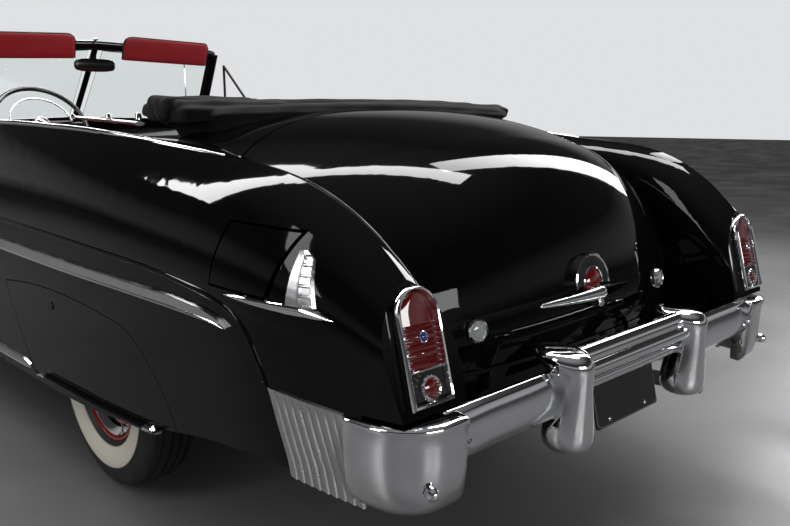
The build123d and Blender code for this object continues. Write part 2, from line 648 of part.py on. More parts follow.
# Nose panel round the grille mouth, curved in plan like the bonnet's front edge
NOSE_CENTRE_Y = -2500.0
NOSE_SIDE_Y = -2392.0
NOSE_HALF = 597.0


NOSE_ARC = (NOSE_HALF ** 2 + (NOSE_SIDE_Y - NOSE_CENTRE_Y) ** 2) / (2 * (NOSE_SIDE_Y - NOSE_CENTRE_Y))


def nose_y(x):
    """Plan curve of the nose."""
    return NOSE_CENTRE_Y + NOSE_ARC - (NOSE_ARC ** 2 - x ** 2) ** 0.5


def plan_band(y_shift, depth, half, z0, z1, mode=Mode.ADD):
    """Upright band that follows the nose in plan."""
    side_y = nose_y(half) + y_shift
    mid_y = NOSE_CENTRE_Y + y_shift
    with BuildSketch(Plane.XY.offset(z0)) as outline:
        with BuildLine():
            ThreePointArc((-half, side_y), (0, mid_y), (half, side_y))
            Line((half, side_y), (half, side_y + depth))
            ThreePointArc((half, side_y + depth), (0, mid_y + depth), (-half, side_y + depth))
            Line((-half, side_y + depth), (-half, side_y))
        make_face()
    extrude(outline.sketch, amount=z1 - z0, mode=mode)


with BuildPart() as nose_panel:
    plan_band(0, 30, 552, 455, 794)
    with BuildSketch(Plane(origin=(0, -2300, 0), x_dir=(1, 0, 0), z_dir=(0, -1, 0))):
        with Locations((0, 628)):
            SlotOverall(1060, 200)
    extrude(amount=300, mode=Mode.SUBTRACT)
finish(nose_panel, "nose_panel")

# Grille: upright teeth joined by a heavy middle bar and a rear rail
GRILLE_TEETH = 17
with BuildPart() as grille:
    plan_band(-14, 34, 500, 606, 650)
    plan_band(30, 12, 545, 500, 520)
    plan_band(30, 12, 545, 736, 756)
    for index in range(GRILLE_TEETH):
        x = (index - (GRILLE_TEETH - 1) / 2) * 54
        y = nose_y(abs(x) + 8)
        box_between(x - 7, x + 7, y + 4, y + 40, 532, 724)
        box_between(x - 7, x + 7, y + 30, y + 40, 505, 750)
finish(grille, "grille")

# Chrome rims of the lamps: head lamps, tall arched tail lamps, round reversing lamps
HEADLAMP = (715.0, SIDE[0].y, 742.0)
HEADLAMP_RADIUS = 92.0
TAIL_X = 752.0
TAIL_HALF = 62.0
REVERSING = (435.0, 2446.0, 694.0)


def tail_plane(side):
    """Plane of the tail lamp's foot: leaning back, its local y up along the lamp."""
    up = Vector(0, -LAMP_LEAN, LAMP_TOP_Z - LAMP_FOOT_Z).normalized()
    back = Vector(0, LAMP_TOP_Z - LAMP_FOOT_Z, LAMP_LEAN).normalized()
    origin = Vector(side * TAIL_X, LAMP_TOP_Y + LAMP_LEAN, LAMP_FOOT_Z) + back * 0.3
    return Plane(origin=origin, x_dir=up.cross(back), z_dir=back)


def arch_face(plane, half, height):
    """Arched outline on a plane: straight foot and sides, round head."""
    with BuildSketch(plane) as outline:
        with BuildLine():
            Polyline((-half, height - half), (-half, 0), (half, 0), (half, height - half))
            ThreePointArc((half, height - half), (0, height), (-half, height - half))
        make_face()
    return outline.sketch


with BuildPart() as lamp_rims:
    for side in (-1, 1):
        with BuildSketch(Plane(origin=(side * HEADLAMP[0], HEADLAMP[1], HEADLAMP[2]), x_dir=(1, 0, 0),
                               z_dir=(0, -1, 0))):
            Circle(HEADLAMP_RADIUS + 14)
            Circle(HEADLAMP_RADIUS - 4, mode=Mode.SUBTRACT)
        extrude(amount=26)
        extrude(arch_face(tail_plane(side), TAIL_HALF + 12, 250), amount=16)
        extrude(arch_face(tail_plane(side).offset(6), TAIL_HALF - 8, 236), amount=20, mode=Mode.SUBTRACT)
finish(lamp_rims, "lamp_rims")
with BuildPart() as tail_lenses:
    for side in (-1, 1):
        extrude(arch_face(tail_plane(side).offset(6), TAIL_HALF - 9, 235), amount=14)
finish(tail_lenses, "tail_lenses")
with BuildPart() as head_lenses:
    for side in (-1, 1):
        with BuildSketch(Plane(origin=(side * HEADLAMP[0], HEADLAMP[1], HEADLAMP[2]), x_dir=(1, 0, 0),
                               z_dir=(0, -1, 0))):
            Circle(HEADLAMP_RADIUS - 5)
        extrude(amount=22)
finish(head_lenses, "head_lenses")

# Bumpers
BUMPER_FRONT_Y = -2692.0
BUMPER_BEND = (720.0, -2640.0)
BUMPER_CORNER = (900.0, -2560.0)
BUMPER_END = (962.0, -2400.0)
BUMPER_DEPTH = 38.0


def bumper_side(side, inset):
    """Corner and end of the front bumper in plan."""
    bend = (side * BUMPER_BEND[0], BUMPER_BEND[1] + inset)
    corner = (side * (BUMPER_CORNER[0] - 0.6 * inset), BUMPER_CORNER[1] + 0.75 * inset)
    end = (side * (BUMPER_END[0] - inset), BUMPER_END[1])
    return bend, corner, end


with BuildPart() as front_bumper:
    with BuildSketch(Plane.XY.offset(395)):
        with BuildLine():
            left = bumper_side(1, 0)
            right = bumper_side(-1, 0)
            left_in = bumper_side(1, BUMPER_DEPTH)
            right_in = bumper_side(-1, BUMPER_DEPTH)
            ThreePointArc(right[0], (0, BUMPER_FRONT_Y), left[0])
            ThreePointArc(*left)
            Line(left[2], left_in[2])
            ThreePointArc(left_in[2], left_in[1], left_in[0])
            ThreePointArc(left_in[0], (0, BUMPER_FRONT_Y + BUMPER_DEPTH), right_in[0])
            ThreePointArc(*right_in)
            Line(right_in[2], right[2])
            ThreePointArc(right[2], right[1], right[0])
        make_face()
    extrude(amount=150)
    for x in (-330, 330):
        box_between(x - 38, x + 38, -2690, -2630, 375, 620)
    for side in (-1, 1):
        across_profile([(-2660, 420), (-2660, 500), (-2380, 410), (-2380, 330)],
                       side * RAIL_X - 20, side * RAIL_X + 20)
finish(front_bumper, "front_bumper")

GUARD_X = 290.0
REAR_BAR_Y = 2650.0
CAP_START = (690.0, 2645.0)
CAP_CORNER = (900.0, 2622.0)
CAP_SIDE = (976.0, 2500.0)
CAP_END = (962.0, 2395.0)
with BuildPart() as rear_bumper:
    box_between(-GUARD_X, GUARD_X, REAR_BAR_Y - 34, REAR_BAR_Y, 578, 652)
    for side in (-1, 1):
        box_between(side * (GUARD_X - 20), side * 700, REAR_BAR_Y - 34, REAR_BAR_Y, 470, 600)
        box_between(side * (GUARD_X - 42), side * (GUARD_X + 42), REAR_BAR_Y - 50, 2692, 398, 634)
        with BuildSketch(Plane.XY.offset(400)):
            with BuildLine():
                Line((side * CAP_START[0], CAP_START[1]), (side * 820, CAP_START[1]))
                ThreePointArc((side * 820, CAP_START[1]), (side * 930, 2600), (side * CAP_SIDE[0], CAP_SIDE[1]))
                Line((side * CAP_SIDE[0], CAP_SIDE[1]), (side * CAP_SIDE[0], CAP_END[1]))
                Line((side * CAP_SIDE[0], CAP_END[1]), (side * (CAP_SIDE[0] - 30), CAP_END[1]))
                Line((side * (CAP_SIDE[0] - 30), CAP_END[1]), (side * (CAP_SIDE[0] - 30), CAP_SIDE[1]))
                ThreePointArc((side * (CAP_SIDE[0] - 30), CAP_SIDE[1]), (side * 908, 2578), (side * 820, 2620))
                Line((side * 820, 2620), (side * CAP_START[0], 2620))
                Line((side * CAP_START[0], 2620), (side * CAP_START[0], CAP_START[1]))
            make_face()
        extrude(amount=185)
        across_profile([(2380, 400), (2380, 450), (REAR_BAR_Y - 30, 540), (REAR_BAR_Y - 30, 490)],
                       side * RAIL_X - 20, side * RAIL_X + 20)
finish(rear_bumper, "rear_bumper")

# Windscreen in a V: frame bars, centre bar and two flat panes
SCREEN_FOOT = (0.0, -896.0, 1186.0)
SCREEN_CORNER = (706.0, -772.0, 1164.0)
SCREEN_HEAD = (0.0, -540.0, 1566.0)
SCREEN_TOP = (648.0, -478.0, 1540.0)
FRAME_RADIUS = 15.0
with BuildPart() as screen_frame:
    rod(SCREEN_FOOT, SCREEN_HEAD, FRAME_RADIUS)
    for side in (-1, 1):
        corner = (side * SCREEN_CORNER[0], SCREEN_CORNER[1], SCREEN_CORNER[2])
        top = (side * SCREEN_TOP[0], SCREEN_TOP[1], SCREEN_TOP[2])
        rod(SCREEN_FOOT, corner, FRAME_RADIUS)
        rod(corner, top, FRAME_RADIUS + 5)
        rod(top, SCREEN_HEAD, FRAME_RADIUS + 7)
    rod((0, -545, 1560), (0, -572, 1486), 7)
    box_between(-98, 98, -580, -566, 1440, 1494)
    add(outer_form, mode=Mode.SUBTRACT)
finish(screen_frame, "windscreen_frame")


def pane(side):
    """Flat pane between foot, corner, head and top bars."""
    foot = Vector(*SCREEN_FOOT)
    corner = Vector(side * SCREEN_CORNER[0], SCREEN_CORNER[1], SCREEN_CORNER[2])
    head = Vector(*SCREEN_HEAD)
    top = Vector(side * SCREEN_TOP[0], SCREEN_TOP[1], SCREEN_TOP[2])
    plane = Plane(origin=foot, x_dir=corner - foot, z_dir=(corner - foot).cross(head - foot))
    middle = (foot + corner + head + top) / 4
    local = []
    for point in (foot, corner, top, head):
        inward = (middle - point).normalized() * 48
        spot = plane.to_local_coords(point + inward)
        local.append((spot.X, spot.Y))
    with BuildPart() as glass:
        with BuildSketch(plane.offset(-3)):
            with BuildLine():
                Polyline(*local, close=True)
            make_face()
        extrude(amount=6)
    return glass


with BuildPart() as panes:
    add(pane(1).part)
    add(pane(-1).part)
finish(panes, "windscreen_glass")

# Dashboard with the steering column
WHEEL_CENTRE = Vector(375, -365, 1172)
COLUMN_TILT = 38.0
column_dir = Vector(0, cos(radians(COLUMN_TILT)), sin(radians(COLUMN_TILT)))
with BuildPart() as dashboard:
    across_profile([(FIREWALL_Y, 930), (FIREWALL_Y, 1118), (-700, 1128), (-585, 1090), (-560, 1030), (-600, 890), (-690, 870)],
                   -745, 745)
    rod(WHEEL_CENTRE - column_dir * 490, WHEEL_CENTRE - column_dir * 54, 24)
    with BuildSketch(Plane(origin=WHEEL_CENTRE, x_dir=(1, 0, 0), z_dir=-column_dir)):
        Circle(10 + PIN_CLEARANCE)
    extrude(amount=110, mode=Mode.SUBTRACT)
finish(dashboard, "dashboard")

STEERING_WHEEL_RADIUS = 212.0
with BuildPart() as flat_wheel:
    with BuildSketch(Plane.XZ):
        with Locations((STEERING_WHEEL_RADIUS, 0)):
            Circle(11)
    revolve(axis=Axis.Z)
    with Locations((0, 0, -9)):
        Cylinder(36, 30)
    with Locations((0, 0, -55)):
        Cylinder(10, 90)
    with Locations(Location((0, 0, -8), (0, 90, 0))):
        Cylinder(8, 2 * STEERING_WHEEL_RADIUS - 10)
    with Locations(Location((0, STEERING_WHEEL_RADIUS / 2, -8), (90, 0, 0))):
        Cylinder(8, STEERING_WHEEL_RADIUS - 10)
with BuildPart() as steering_wheel:
    add(flat_wheel.part.moved(Location(Plane(origin=WHEEL_CENTRE, x_dir=(1, 0, 0), z_dir=column_dir))))
finish(steering_wheel, "steering_wheel")

# Seats: bench in front, narrower bench between the wheelhouses behind
with BuildPart() as front_seat:
    across_profile([(-80, 345), (-110, 520), (-60, 560), (350, 540), (440, 1010), (520, 1030), (560, 980), (500, 520),
                    (420, 345)], -700, 700)
    box_between(-130, 130, -200, 700, 300, TUNNEL_TOP + FLOOR_SHEET + 6, mode=Mode.SUBTRACT)
finish(front_seat, "front_seat")
with BuildPart() as rear_seat:
    across_profile([(900, 545), (840, 560), (830, 660), (880, 700), (1270, 670), (1350, 1060), (1420, 1080),
                    (1480, 1040), (1470, 545)], -620, 620)
finish(rear_seat, "rear_seat")

# Folded top in its well behind the rear seat
with BuildPart() as stack_upper:
    across_profile([(1350, 1180), (1350, 1235), (1400, 1262), (1560, 1264), (1660, 1240), (1690, 1215), (1690, 1120),
                    (1350, 1120)], -690, 690)
    add(outer_form.moved(Location((0, 0, 3))), mode=Mode.SUBTRACT)
with BuildPart() as folded_top:
    add(stack_upper.part)
    box_between(-636, 636, 1345, 1540, WELL_FLOOR_Z + FLOOR_SHEET, 1232)
finish(folded_top, "folded_top")

# Sun visors, tipped up above the header and in line with it
VISOR_HEIGHT = 72.0
VISOR_LEAN = 24.0
with BuildPart() as visors:
    for side in (-1, 1):
        head = Vector(*SCREEN_HEAD)
        top = Vector(side * SCREEN_TOP[0], SCREEN_TOP[1], SCREEN_TOP[2])
        along = (top - head).normalized()
        up = Vector(0, sin(radians(VISOR_LEAN)), cos(radians(VISOR_LEAN)))
        face = along.cross(up).normalized()
        if face.Y < 0:
            face = face * -1
        start = head + along * 135 + face * 24 + up * 2
        with BuildSketch(Plane(origin=start + face * 9, x_dir=along, z_dir=face)) as pad:
            with Locations((240, (VISOR_HEIGHT / 2) if face.cross(along).Z > 0 else -VISOR_HEIGHT / 2)):
                RectangleRounded(480, VISOR_HEIGHT, 20)
        extrude(amount=8, both=True)
finish(visors, "sun_visors")

# Lid trim: handle, plain round emblem and the two reversing lamps
with BuildPart() as lid_trim:
    rod((-215, 2492, 716), (215, 2492, 716), 13)
    with BuildSketch(Plane(origin=(0, 2440, 758), x_dir=(-1, 0, 0), z_dir=(0, 1, 0))):
        Circle(78)
    extrude(amount=52)
    for side in (-1, 1):
        with BuildSketch(Plane(origin=(side * REVERSING[0], REVERSING[1] - 20, REVERSING[2]), x_dir=(-1, 0, 0),
                               z_dir=(0, 1, 0))):
            Circle(37)
        extrude(amount=46)
    add(outer_form, mode=Mode.SUBTRACT)
finish(lid_trim, "lid_trim")

# Bare licence plate on its bracket
with BuildPart() as plate:
    with BuildSketch(Plane(origin=(0, 2604, 476), x_dir=(-1, 0, 0), z_dir=(0, cos(radians(12)), sin(radians(12))))):
        RectangleRounded(305, 153, 8)
    extrude(amount=4)
    box_between(-120, 120, 2590, 2600, 500, 574)
finish(plate, "licence_plate")

# Vent windows: three-sided frames standing on the doors behind the windscreen pillar
VENT_FOOT_Y = -632.0
VENT_REAR_Y = -300.0
for side, name in ((1, "left"), (-1, "right")):
    with BuildPart() as vent:
        foot = (side * 822, VENT_FOOT_Y, 1188)
        rear = (side * 822, VENT_REAR_Y, 1196)
        peak = (side * 712, -455, 1478)
        rod(foot, rear, 7)
        rod(rear, peak, 7)
        rod(foot, peak, 7)
        add(outer_form, mode=Mode.SUBTRACT)
    finish(vent, f"vent_window_{name}")
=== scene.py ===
"""Looks of an open two-door car of the early 1950s: black paint, red leather, chrome, folded cloth top."""
from math import copysign, cos, pi, radians, sin

import bpy
from mathutils import Matrix, Vector
from mathutils.bvhtree import BVHTree


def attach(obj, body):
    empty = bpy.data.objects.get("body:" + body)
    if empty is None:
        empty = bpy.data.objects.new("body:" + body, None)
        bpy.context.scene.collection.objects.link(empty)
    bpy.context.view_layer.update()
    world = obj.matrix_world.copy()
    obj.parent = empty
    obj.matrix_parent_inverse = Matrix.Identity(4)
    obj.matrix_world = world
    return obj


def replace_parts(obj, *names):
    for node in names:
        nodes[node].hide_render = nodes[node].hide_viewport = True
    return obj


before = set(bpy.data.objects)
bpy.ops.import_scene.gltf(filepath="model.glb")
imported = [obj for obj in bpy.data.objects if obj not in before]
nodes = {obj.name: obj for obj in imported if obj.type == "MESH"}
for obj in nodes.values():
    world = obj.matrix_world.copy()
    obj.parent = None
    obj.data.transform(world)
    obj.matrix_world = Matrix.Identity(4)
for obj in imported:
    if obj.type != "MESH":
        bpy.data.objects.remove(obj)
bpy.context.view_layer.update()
bpy.ops.object.select_all(action="DESELECT")

# Sizes shared with the construction, in metres

FRONT_AXLE_Y = -1.797
REAR_AXLE_Y = 1.200
HUB_Z = 0.352
FRONT_WHEEL_X = 0.743
REAR_WHEEL_X = 0.755
SIDES = ((1, "left"), (-1, "right"))
TYRES = (
    ("front_left", FRONT_WHEEL_X, FRONT_AXLE_Y, 1),
    ("front_right", -FRONT_WHEEL_X, FRONT_AXLE_Y, -1),
    ("rear_left", REAR_WHEEL_X, REAR_AXLE_Y, 1),
    ("rear_right", -REAR_WHEEL_X, REAR_AXLE_Y, -1),
)


# Shader nodes

def feed(tree, node, inputs):
    """Gives each named input of a node its value, or the socket that drives it."""
    for label, value in inputs.items():
        if isinstance(value, bpy.types.NodeSocket):
            tree.links.new(value, node.inputs[label])
        else:
            node.inputs[label].default_value = value
    return node


def added(tree, kind, inputs, **choices):
    """New node of one kind, with its choices made and its inputs fed."""
    node = tree.nodes.new(kind)
    for label, choice in choices.items():
        setattr(node, label, choice)
    return feed(tree, node, inputs)


def computed(tree, operation, first, second, clamp=False):
    """Socket with the result of a sum on two values."""
    node = added(tree, "ShaderNodeMath", {0: first, 1: second}, operation=operation, use_clamp=clamp)
    return node.outputs["Value"]


def ramp(tree, value, stops, interpolation="LINEAR"):
    """Colour over a value, from stops of position and color; the first and the last are the ramp's ends."""
    node = added(tree, "ShaderNodeValToRGB", {"Fac": value})
    node.color_ramp.interpolation = interpolation
    elements = node.color_ramp.elements
    for element, (position, color) in zip(elements, (stops[0], stops[-1])):
        element.position = position
        element.color = (*color, 1.0)
    for position, color in stops[1:-1]:
        elements.new(position).color = (*color, 1.0)
    return node.outputs["Color"]


# Effects that several materials share

def effect_group(name, inputs, outputs):
    """New node group with a Vector input, float inputs with their defaults, and float outputs."""
    group = bpy.data.node_groups.new(name, "ShaderNodeTree")
    group.interface.new_socket(name="Vector", in_out="INPUT", socket_type="NodeSocketVector")
    for label, default in inputs.items():
        socket = group.interface.new_socket(name=label, in_out="INPUT", socket_type="NodeSocketFloat")
        socket.default_value = default
    for label in outputs:
        group.interface.new_socket(name=label, in_out="OUTPUT", socket_type="NodeSocketFloat")
    return group, group.nodes.new("NodeGroupInput").outputs, group.nodes.new("NodeGroupOutput")


def polish_group():
    """Faint smears in a polished surface: a roughness that wanders between Low and High."""
    group, given, result = effect_group(
        "polish_smears", {"Scale": 3.0, "Low": 0.05, "High": 0.12}, ("Roughness", "Height"))
    noise = added(group, "ShaderNodeTexNoise", {
        "Vector": given["Vector"], "Scale": given["Scale"], "Detail": 5.0, "Distortion": 0.6})
    spread = added(group, "ShaderNodeMapRange", {
        "Value": noise.outputs["Fac"], "From Min": 0.35, "From Max": 0.68,
        "To Min": given["Low"], "To Max": given["High"]})
    feed(group, result, {"Roughness": spread.outputs["Result"], "Height": noise.outputs["Fac"]})
    return group


def grain_group():
    """Fine pebbled grain of leather or moulded rubber: cell height, and a mask of its hollows that carries
    painted shade.
    """
    group, given, result = effect_group(
        "pebbled_grain", {"Scale": 400.0, "Creases": 0.6}, ("Height", "Hollow shade mask"))
    cells = added(group, "ShaderNodeTexVoronoi", {"Vector": given["Vector"], "Scale": given["Scale"]},
                  feature="DISTANCE_TO_EDGE")
    soft = added(group, "ShaderNodeTexNoise", {"Vector": given["Vector"], "Scale": 18.0, "Detail": 6.0})
    rise = added(group, "ShaderNodeMapRange", {"Value": cells.outputs["Distance"], "From Max": 0.25})
    scaled = computed(group, "MULTIPLY", soft.outputs["Fac"], given["Creases"])
    feed(group, result, {
        "Height": computed(group, "ADD", rise.outputs["Result"], scaled), "Hollow shade mask": soft.outputs["Fac"]})
    return group


def weave_group():
    """Woven cloth: crossing threads as height, and a slow mottle for its colour."""
    group, given, result = effect_group("cloth_weave", {"Threads": 900.0}, ("Height", "Mottle"))
    threads = {"Vector": given["Vector"], "Scale": given["Threads"], "Distortion": 0.4}
    warp = added(group, "ShaderNodeTexWave", threads, bands_direction="X")
    weft = added(group, "ShaderNodeTexWave", threads, bands_direction="DIAGONAL")
    mottle = added(group, "ShaderNodeTexNoise", {"Vector": given["Vector"], "Scale": 25.0, "Detail": 5.0})
    feed(group, result, {
        "Height": computed(group, "MAXIMUM", warp.outputs["Fac"], weft.outputs["Fac"]),
        "Mottle": mottle.outputs["Fac"]})
    return group


def dust_group():
    """Road dust that settles low down in patches, as a mask from 0 to 1."""
    group, given, result = effect_group("road_dust", {"Top height": 0.45, "Amount": 0.5}, ("Mask",))
    apart = added(group, "ShaderNodeSeparateXYZ", {"Vector": given["Vector"]})
    fall = added(group, "ShaderNodeMapRange", {
        "Value": apart.outputs["Z"], "From Min": given["Top height"], "From Max": 0.0})
    noise = added(group, "ShaderNodeTexNoise", {"Vector": given["Vector"], "Scale": 14.0, "Detail": 8.0})
    patchy = computed(group, "MULTIPLY", fall.outputs["Result"], noise.outputs["Fac"])
    feed(group, result, {"Mask": computed(group, "MULTIPLY", patchy, given["Amount"], clamp=True)})
    return group


POLISH = polish_group()
GRAIN = grain_group()
WEAVE = weave_group()
DUST = dust_group()


# Materials

def new_material(name, color, roughness=0.5, metallic=0.0):
    """Material, its node tree and shader, and the Object coordinates that its patterns read."""
    material = bpy.data.materials.new(name)
    material.use_nodes = True
    tree = material.node_tree
    shader = tree.nodes["Principled BSDF"]
    feed(tree, shader, {"Base Color": (*color, 1.0), "Roughness": roughness, "Metallic": metallic})
    return material, tree, shader, tree.nodes.new("ShaderNodeTexCoord").outputs["Object"]


def effect(tree, group, spot, **values):
    """Outputs of one shared effect in a material, with its own values."""
    return added(tree, "ShaderNodeGroup", {"Vector": spot, **values}, node_tree=group).outputs


def smear(tree, shader, spot, scale, low, high):
    """Smears on a shader's roughness; gives back their height."""
    smears = effect(tree, POLISH, spot, Scale=scale, Low=low, High=high)
    feed(tree, shader, {"Roughness": smears["Roughness"]})
    return smears["Height"]


def bump(tree, shader, height, strength, distance):
    """Height socket as relief on the shader."""
    relief = added(tree, "ShaderNodeBump", {"Strength": strength, "Distance": distance, "Height": height})
    feed(tree, shader, {"Normal": relief.outputs["Normal"]})


def two_colors(tree, shader, mask, first, second):
    """Base colour that goes from first to second with the mask."""
    blend = added(tree, "ShaderNodeMix", {"Factor": mask, "A": (*first, 1.0), "B": (*second, 1.0)},
                  data_type="RGBA")
    feed(tree, shader, {"Base Color": blend.outputs["Result"]})


ROAD_DUST = (0.16, 0.14, 0.12)


def polished(name, color, low, high, metallic=0.0, scale=3.0, coat=0.0, dust=0.0, specular=0.5):
    """Hard smooth surface: paint, chrome or enamel, with smears and some dust low down."""
    material, tree, shader, spot = new_material(name, color, high, metallic)
    smear(tree, shader, spot, scale, low, high)
    shader.inputs["Specular IOR Level"].default_value = specular
    if coat:
        feed(tree, shader, {"Coat Weight": coat, "Coat Roughness": 0.02})
    if dust:
        two_colors(tree, shader, effect(tree, DUST, spot, Amount=dust)["Mask"], color, ROAD_DUST)
    return material


def leather(name, color, hollow_shade):
    """Smooth upholstery leather with a pebbled grain, and painted shade: a darker red in its hollows, where
    the relief is low.
    """
    material, tree, shader, spot = new_material(name, color, 0.42)
    grain = effect(tree, GRAIN, spot, Scale=420.0)
    # Painted shade: the colour goes to the darker red where the soft noise, and with it the relief, is low.
    two_colors(tree, shader, grain["Hollow shade mask"], hollow_shade, color)
    bump(tree, shader, grain["Height"], 0.35, 0.0006)
    smear(tree, shader, spot, 9.0, 0.34, 0.52)
    feed(tree, shader, {"Coat Weight": 0.15, "Coat Roughness": 0.3})
    return material


def cloth(name, color, light):
    """Woven cloth, lighter where it is worn."""
    material, tree, shader, spot = new_material(name, color, 0.9)
    weave = effect(tree, WEAVE, spot, Threads=900.0)
    two_colors(tree, shader, weave["Mottle"], color, light)
    bump(tree, shader, weave["Height"], 0.5, 0.0006)
    feed(tree, shader, {"Specular IOR Level": 0.15, "Sheen Weight": 0.06, "Sheen Roughness": 0.5})
    return material


def rough_metal(name, color, dust_color, low=0.4, high=0.7, metallic=0.0):
    """Plain painted or bare metal underneath the car, under a good deal of dust."""
    material, tree, shader, spot = new_material(name, color, high, metallic)
    height = smear(tree, shader, spot, 22.0, low, high)
    two_colors(tree, shader, effect(tree, DUST, spot, Amount=1.2)["Mask"], color, dust_color)
    bump(tree, shader, height, 0.4, 0.0015)
    return material


def glass(name, color, roughness=0.0):
    """Clear glass with faint smears."""
    material, tree, shader, spot = new_material(name, color, roughness)
    feed(tree, shader, {"Transmission Weight": 1.0, "IOR": 1.45})
    smear(tree, shader, spot, 6.0, roughness, roughness + 0.03)
    return material


RUBBER_BLACK = (0.018, 0.018, 0.018)
BAND_CREAM = (0.78, 0.74, 0.62)
BLACK, WHITE = (0.0, 0.0, 0.0), (1.0, 1.0, 1.0)
# Mask of the tyre's cream band over the radius
CREAM_BAND = [(0.0, BLACK), (0.2125, BLACK), (0.2145, WHITE), (0.2775, WHITE), (0.2795, BLACK), (1.0, BLACK)]


def tyre_material(name, x, y, side):
    """Black rubber with a cream band on the outer side."""
    material, tree, shader, spot = new_material(name, RUBBER_BLACK, 0.7)
    centred = added(tree, "ShaderNodeMapping", {
        "Vector": spot, "Location": (0.0, -y, -HUB_Z), "Scale": (0.0, 1.0, 1.0)})
    radius = added(tree, "ShaderNodeVectorMath", {0: centred.outputs["Vector"]}, operation="LENGTH")
    band = ramp(tree, radius.outputs["Value"], CREAM_BAND, "EASE")
    across = added(tree, "ShaderNodeSeparateXYZ", {"Vector": spot}).outputs["X"]
    outer = computed(tree, "GREATER_THAN" if side > 0 else "LESS_THAN", across, x + side * 0.05)
    two_colors(tree, shader, computed(tree, "MULTIPLY", band, outer), RUBBER_BLACK, BAND_CREAM)
    bump(tree, shader, effect(tree, GRAIN, spot, Scale=260.0)["Height"], 0.25, 0.0005)
    smear(tree, shader, spot, 12.0, 0.5, 0.75)
    return material


BODY_PAINT = polished("body_black_enamel", (0.0025, 0.0025, 0.003), 0.03, 0.06, scale=2.2, coat=0.2,
                      specular=0.09)
SATIN_BLACK = polished("satin_black", (0.012, 0.012, 0.013), 0.3, 0.45, scale=9.0)
CHROME = polished("chrome", (0.86, 0.87, 0.88), 0.02, 0.055, metallic=1.0, scale=7.0)
STAINLESS = polished("stainless_trim", (0.62, 0.62, 0.63), 0.12, 0.24, metallic=1.0, scale=11.0)
SATIN_ALUMINIUM = polished("satin_aluminium", (0.66, 0.66, 0.67), 0.26, 0.4, metallic=1.0, scale=15.0)
WHEEL_RED = polished("wheel_red_enamel", (0.42, 0.012, 0.014), 0.08, 0.16, scale=8.0, coat=0.8, dust=0.25)
LENS_RED = polished("red_lens", (0.13, 0.003, 0.004), 0.04, 0.1, scale=12.0, coat=1.0)
LENS_CLEAR = polished("fluted_lens", (0.34, 0.36, 0.36), 0.03, 0.08, scale=20.0, coat=1.0)
JEWEL_BLUE = polished("blue_jewel", (0.01, 0.03, 0.22), 0.03, 0.06, scale=20.0, coat=1.0)
DASH_PAINT = polished("dash_enamel", (0.012, 0.012, 0.013), 0.12, 0.22, scale=10.0, coat=0.5)
BAKELITE = polished("black_bakelite", (0.010, 0.010, 0.010), 0.12, 0.24, scale=16.0)
# The second colour of each leather is the painted shade in its hollows.
RED_LEATHER = leather("red_leather", (0.30, 0.010, 0.014), (0.20, 0.006, 0.009))
VISOR_LEATHER = leather("visor_leather", (0.34, 0.010, 0.016), (0.24, 0.006, 0.010))
TOP_CLOTH = cloth("black_top_cloth", (0.0035, 0.0035, 0.0038), (0.0075, 0.0075, 0.008))
CHASSIS_BLACK = rough_metal("chassis_black", (0.016, 0.016, 0.017), (0.09, 0.08, 0.07))
CAST_IRON = rough_metal("cast_iron", (0.07, 0.065, 0.062), (0.13, 0.115, 0.10), 0.45, 0.75, metallic=0.6)
ENGINE_PAINT = rough_metal("engine_green", (0.035, 0.075, 0.062), (0.05, 0.048, 0.042), 0.3, 0.55)
EXHAUST_STEEL = rough_metal("exhaust_steel", (0.30, 0.27, 0.25), (0.20, 0.12, 0.08), 0.4, 0.65, metallic=0.9)
CLEAR_GLASS = glass("clear_glass", (0.93, 0.97, 0.96))
LAMP_GLASS = glass("lamp_glass", (0.95, 0.96, 0.95), 0.06)

PAINTED_PANELS = (
    "front_wing_left", "front_wing_right", "door_left", "door_right", "quarter_left", "quarter_right",
    "wheel_skirts", "fuel_door", "cowl", "deck_surround", "boot_lid", "bonnet")
FINISHES = (
    (BODY_PAINT, PAINTED_PANELS + ("nose_panel", "windscreen_frame")),
    (CHASSIS_BLACK, ("underbody", "chassis_frame", "radiator", "fuel_tank")),
    (CAST_IRON, ("front_suspension", "knuckle_left", "knuckle_right", "rear_axle", "driveshaft")),
    (ENGINE_PAINT, ("engine",)),
    (EXHAUST_STEEL, ("exhaust",)),
    (CHROME, ("grille", "lamp_rims", "front_bumper", "rear_bumper", "lid_trim")),
    (SATIN_BLACK, ("vent_window_left", "vent_window_right", "licence_plate")),
    (SATIN_BLACK, tuple(f"tyre_{word}" for word, *_ in TYRES)),
    (WHEEL_RED, tuple(f"wheel_{word}" for word, *_ in TYRES)),
    (LENS_RED, ("tail_lenses",)),
    (LAMP_GLASS, ("head_lenses",)),
    (CLEAR_GLASS, ("windscreen_glass",)),
    (DASH_PAINT, ("dashboard",)),
    (BAKELITE, ("steering_wheel",)),
    (RED_LEATHER, ("front_seat", "rear_seat", "sun_visors")),
    (TOP_CLOTH, ("folded_top",)),
)
for finish, finished_nodes in FINISHES:
    for node_name in finished_nodes:
        nodes[node_name].data.materials.clear()
        nodes[node_name].data.materials.append(finish)


# Shaping helpers: every form starts from a primitive and ends at the origin, in metres

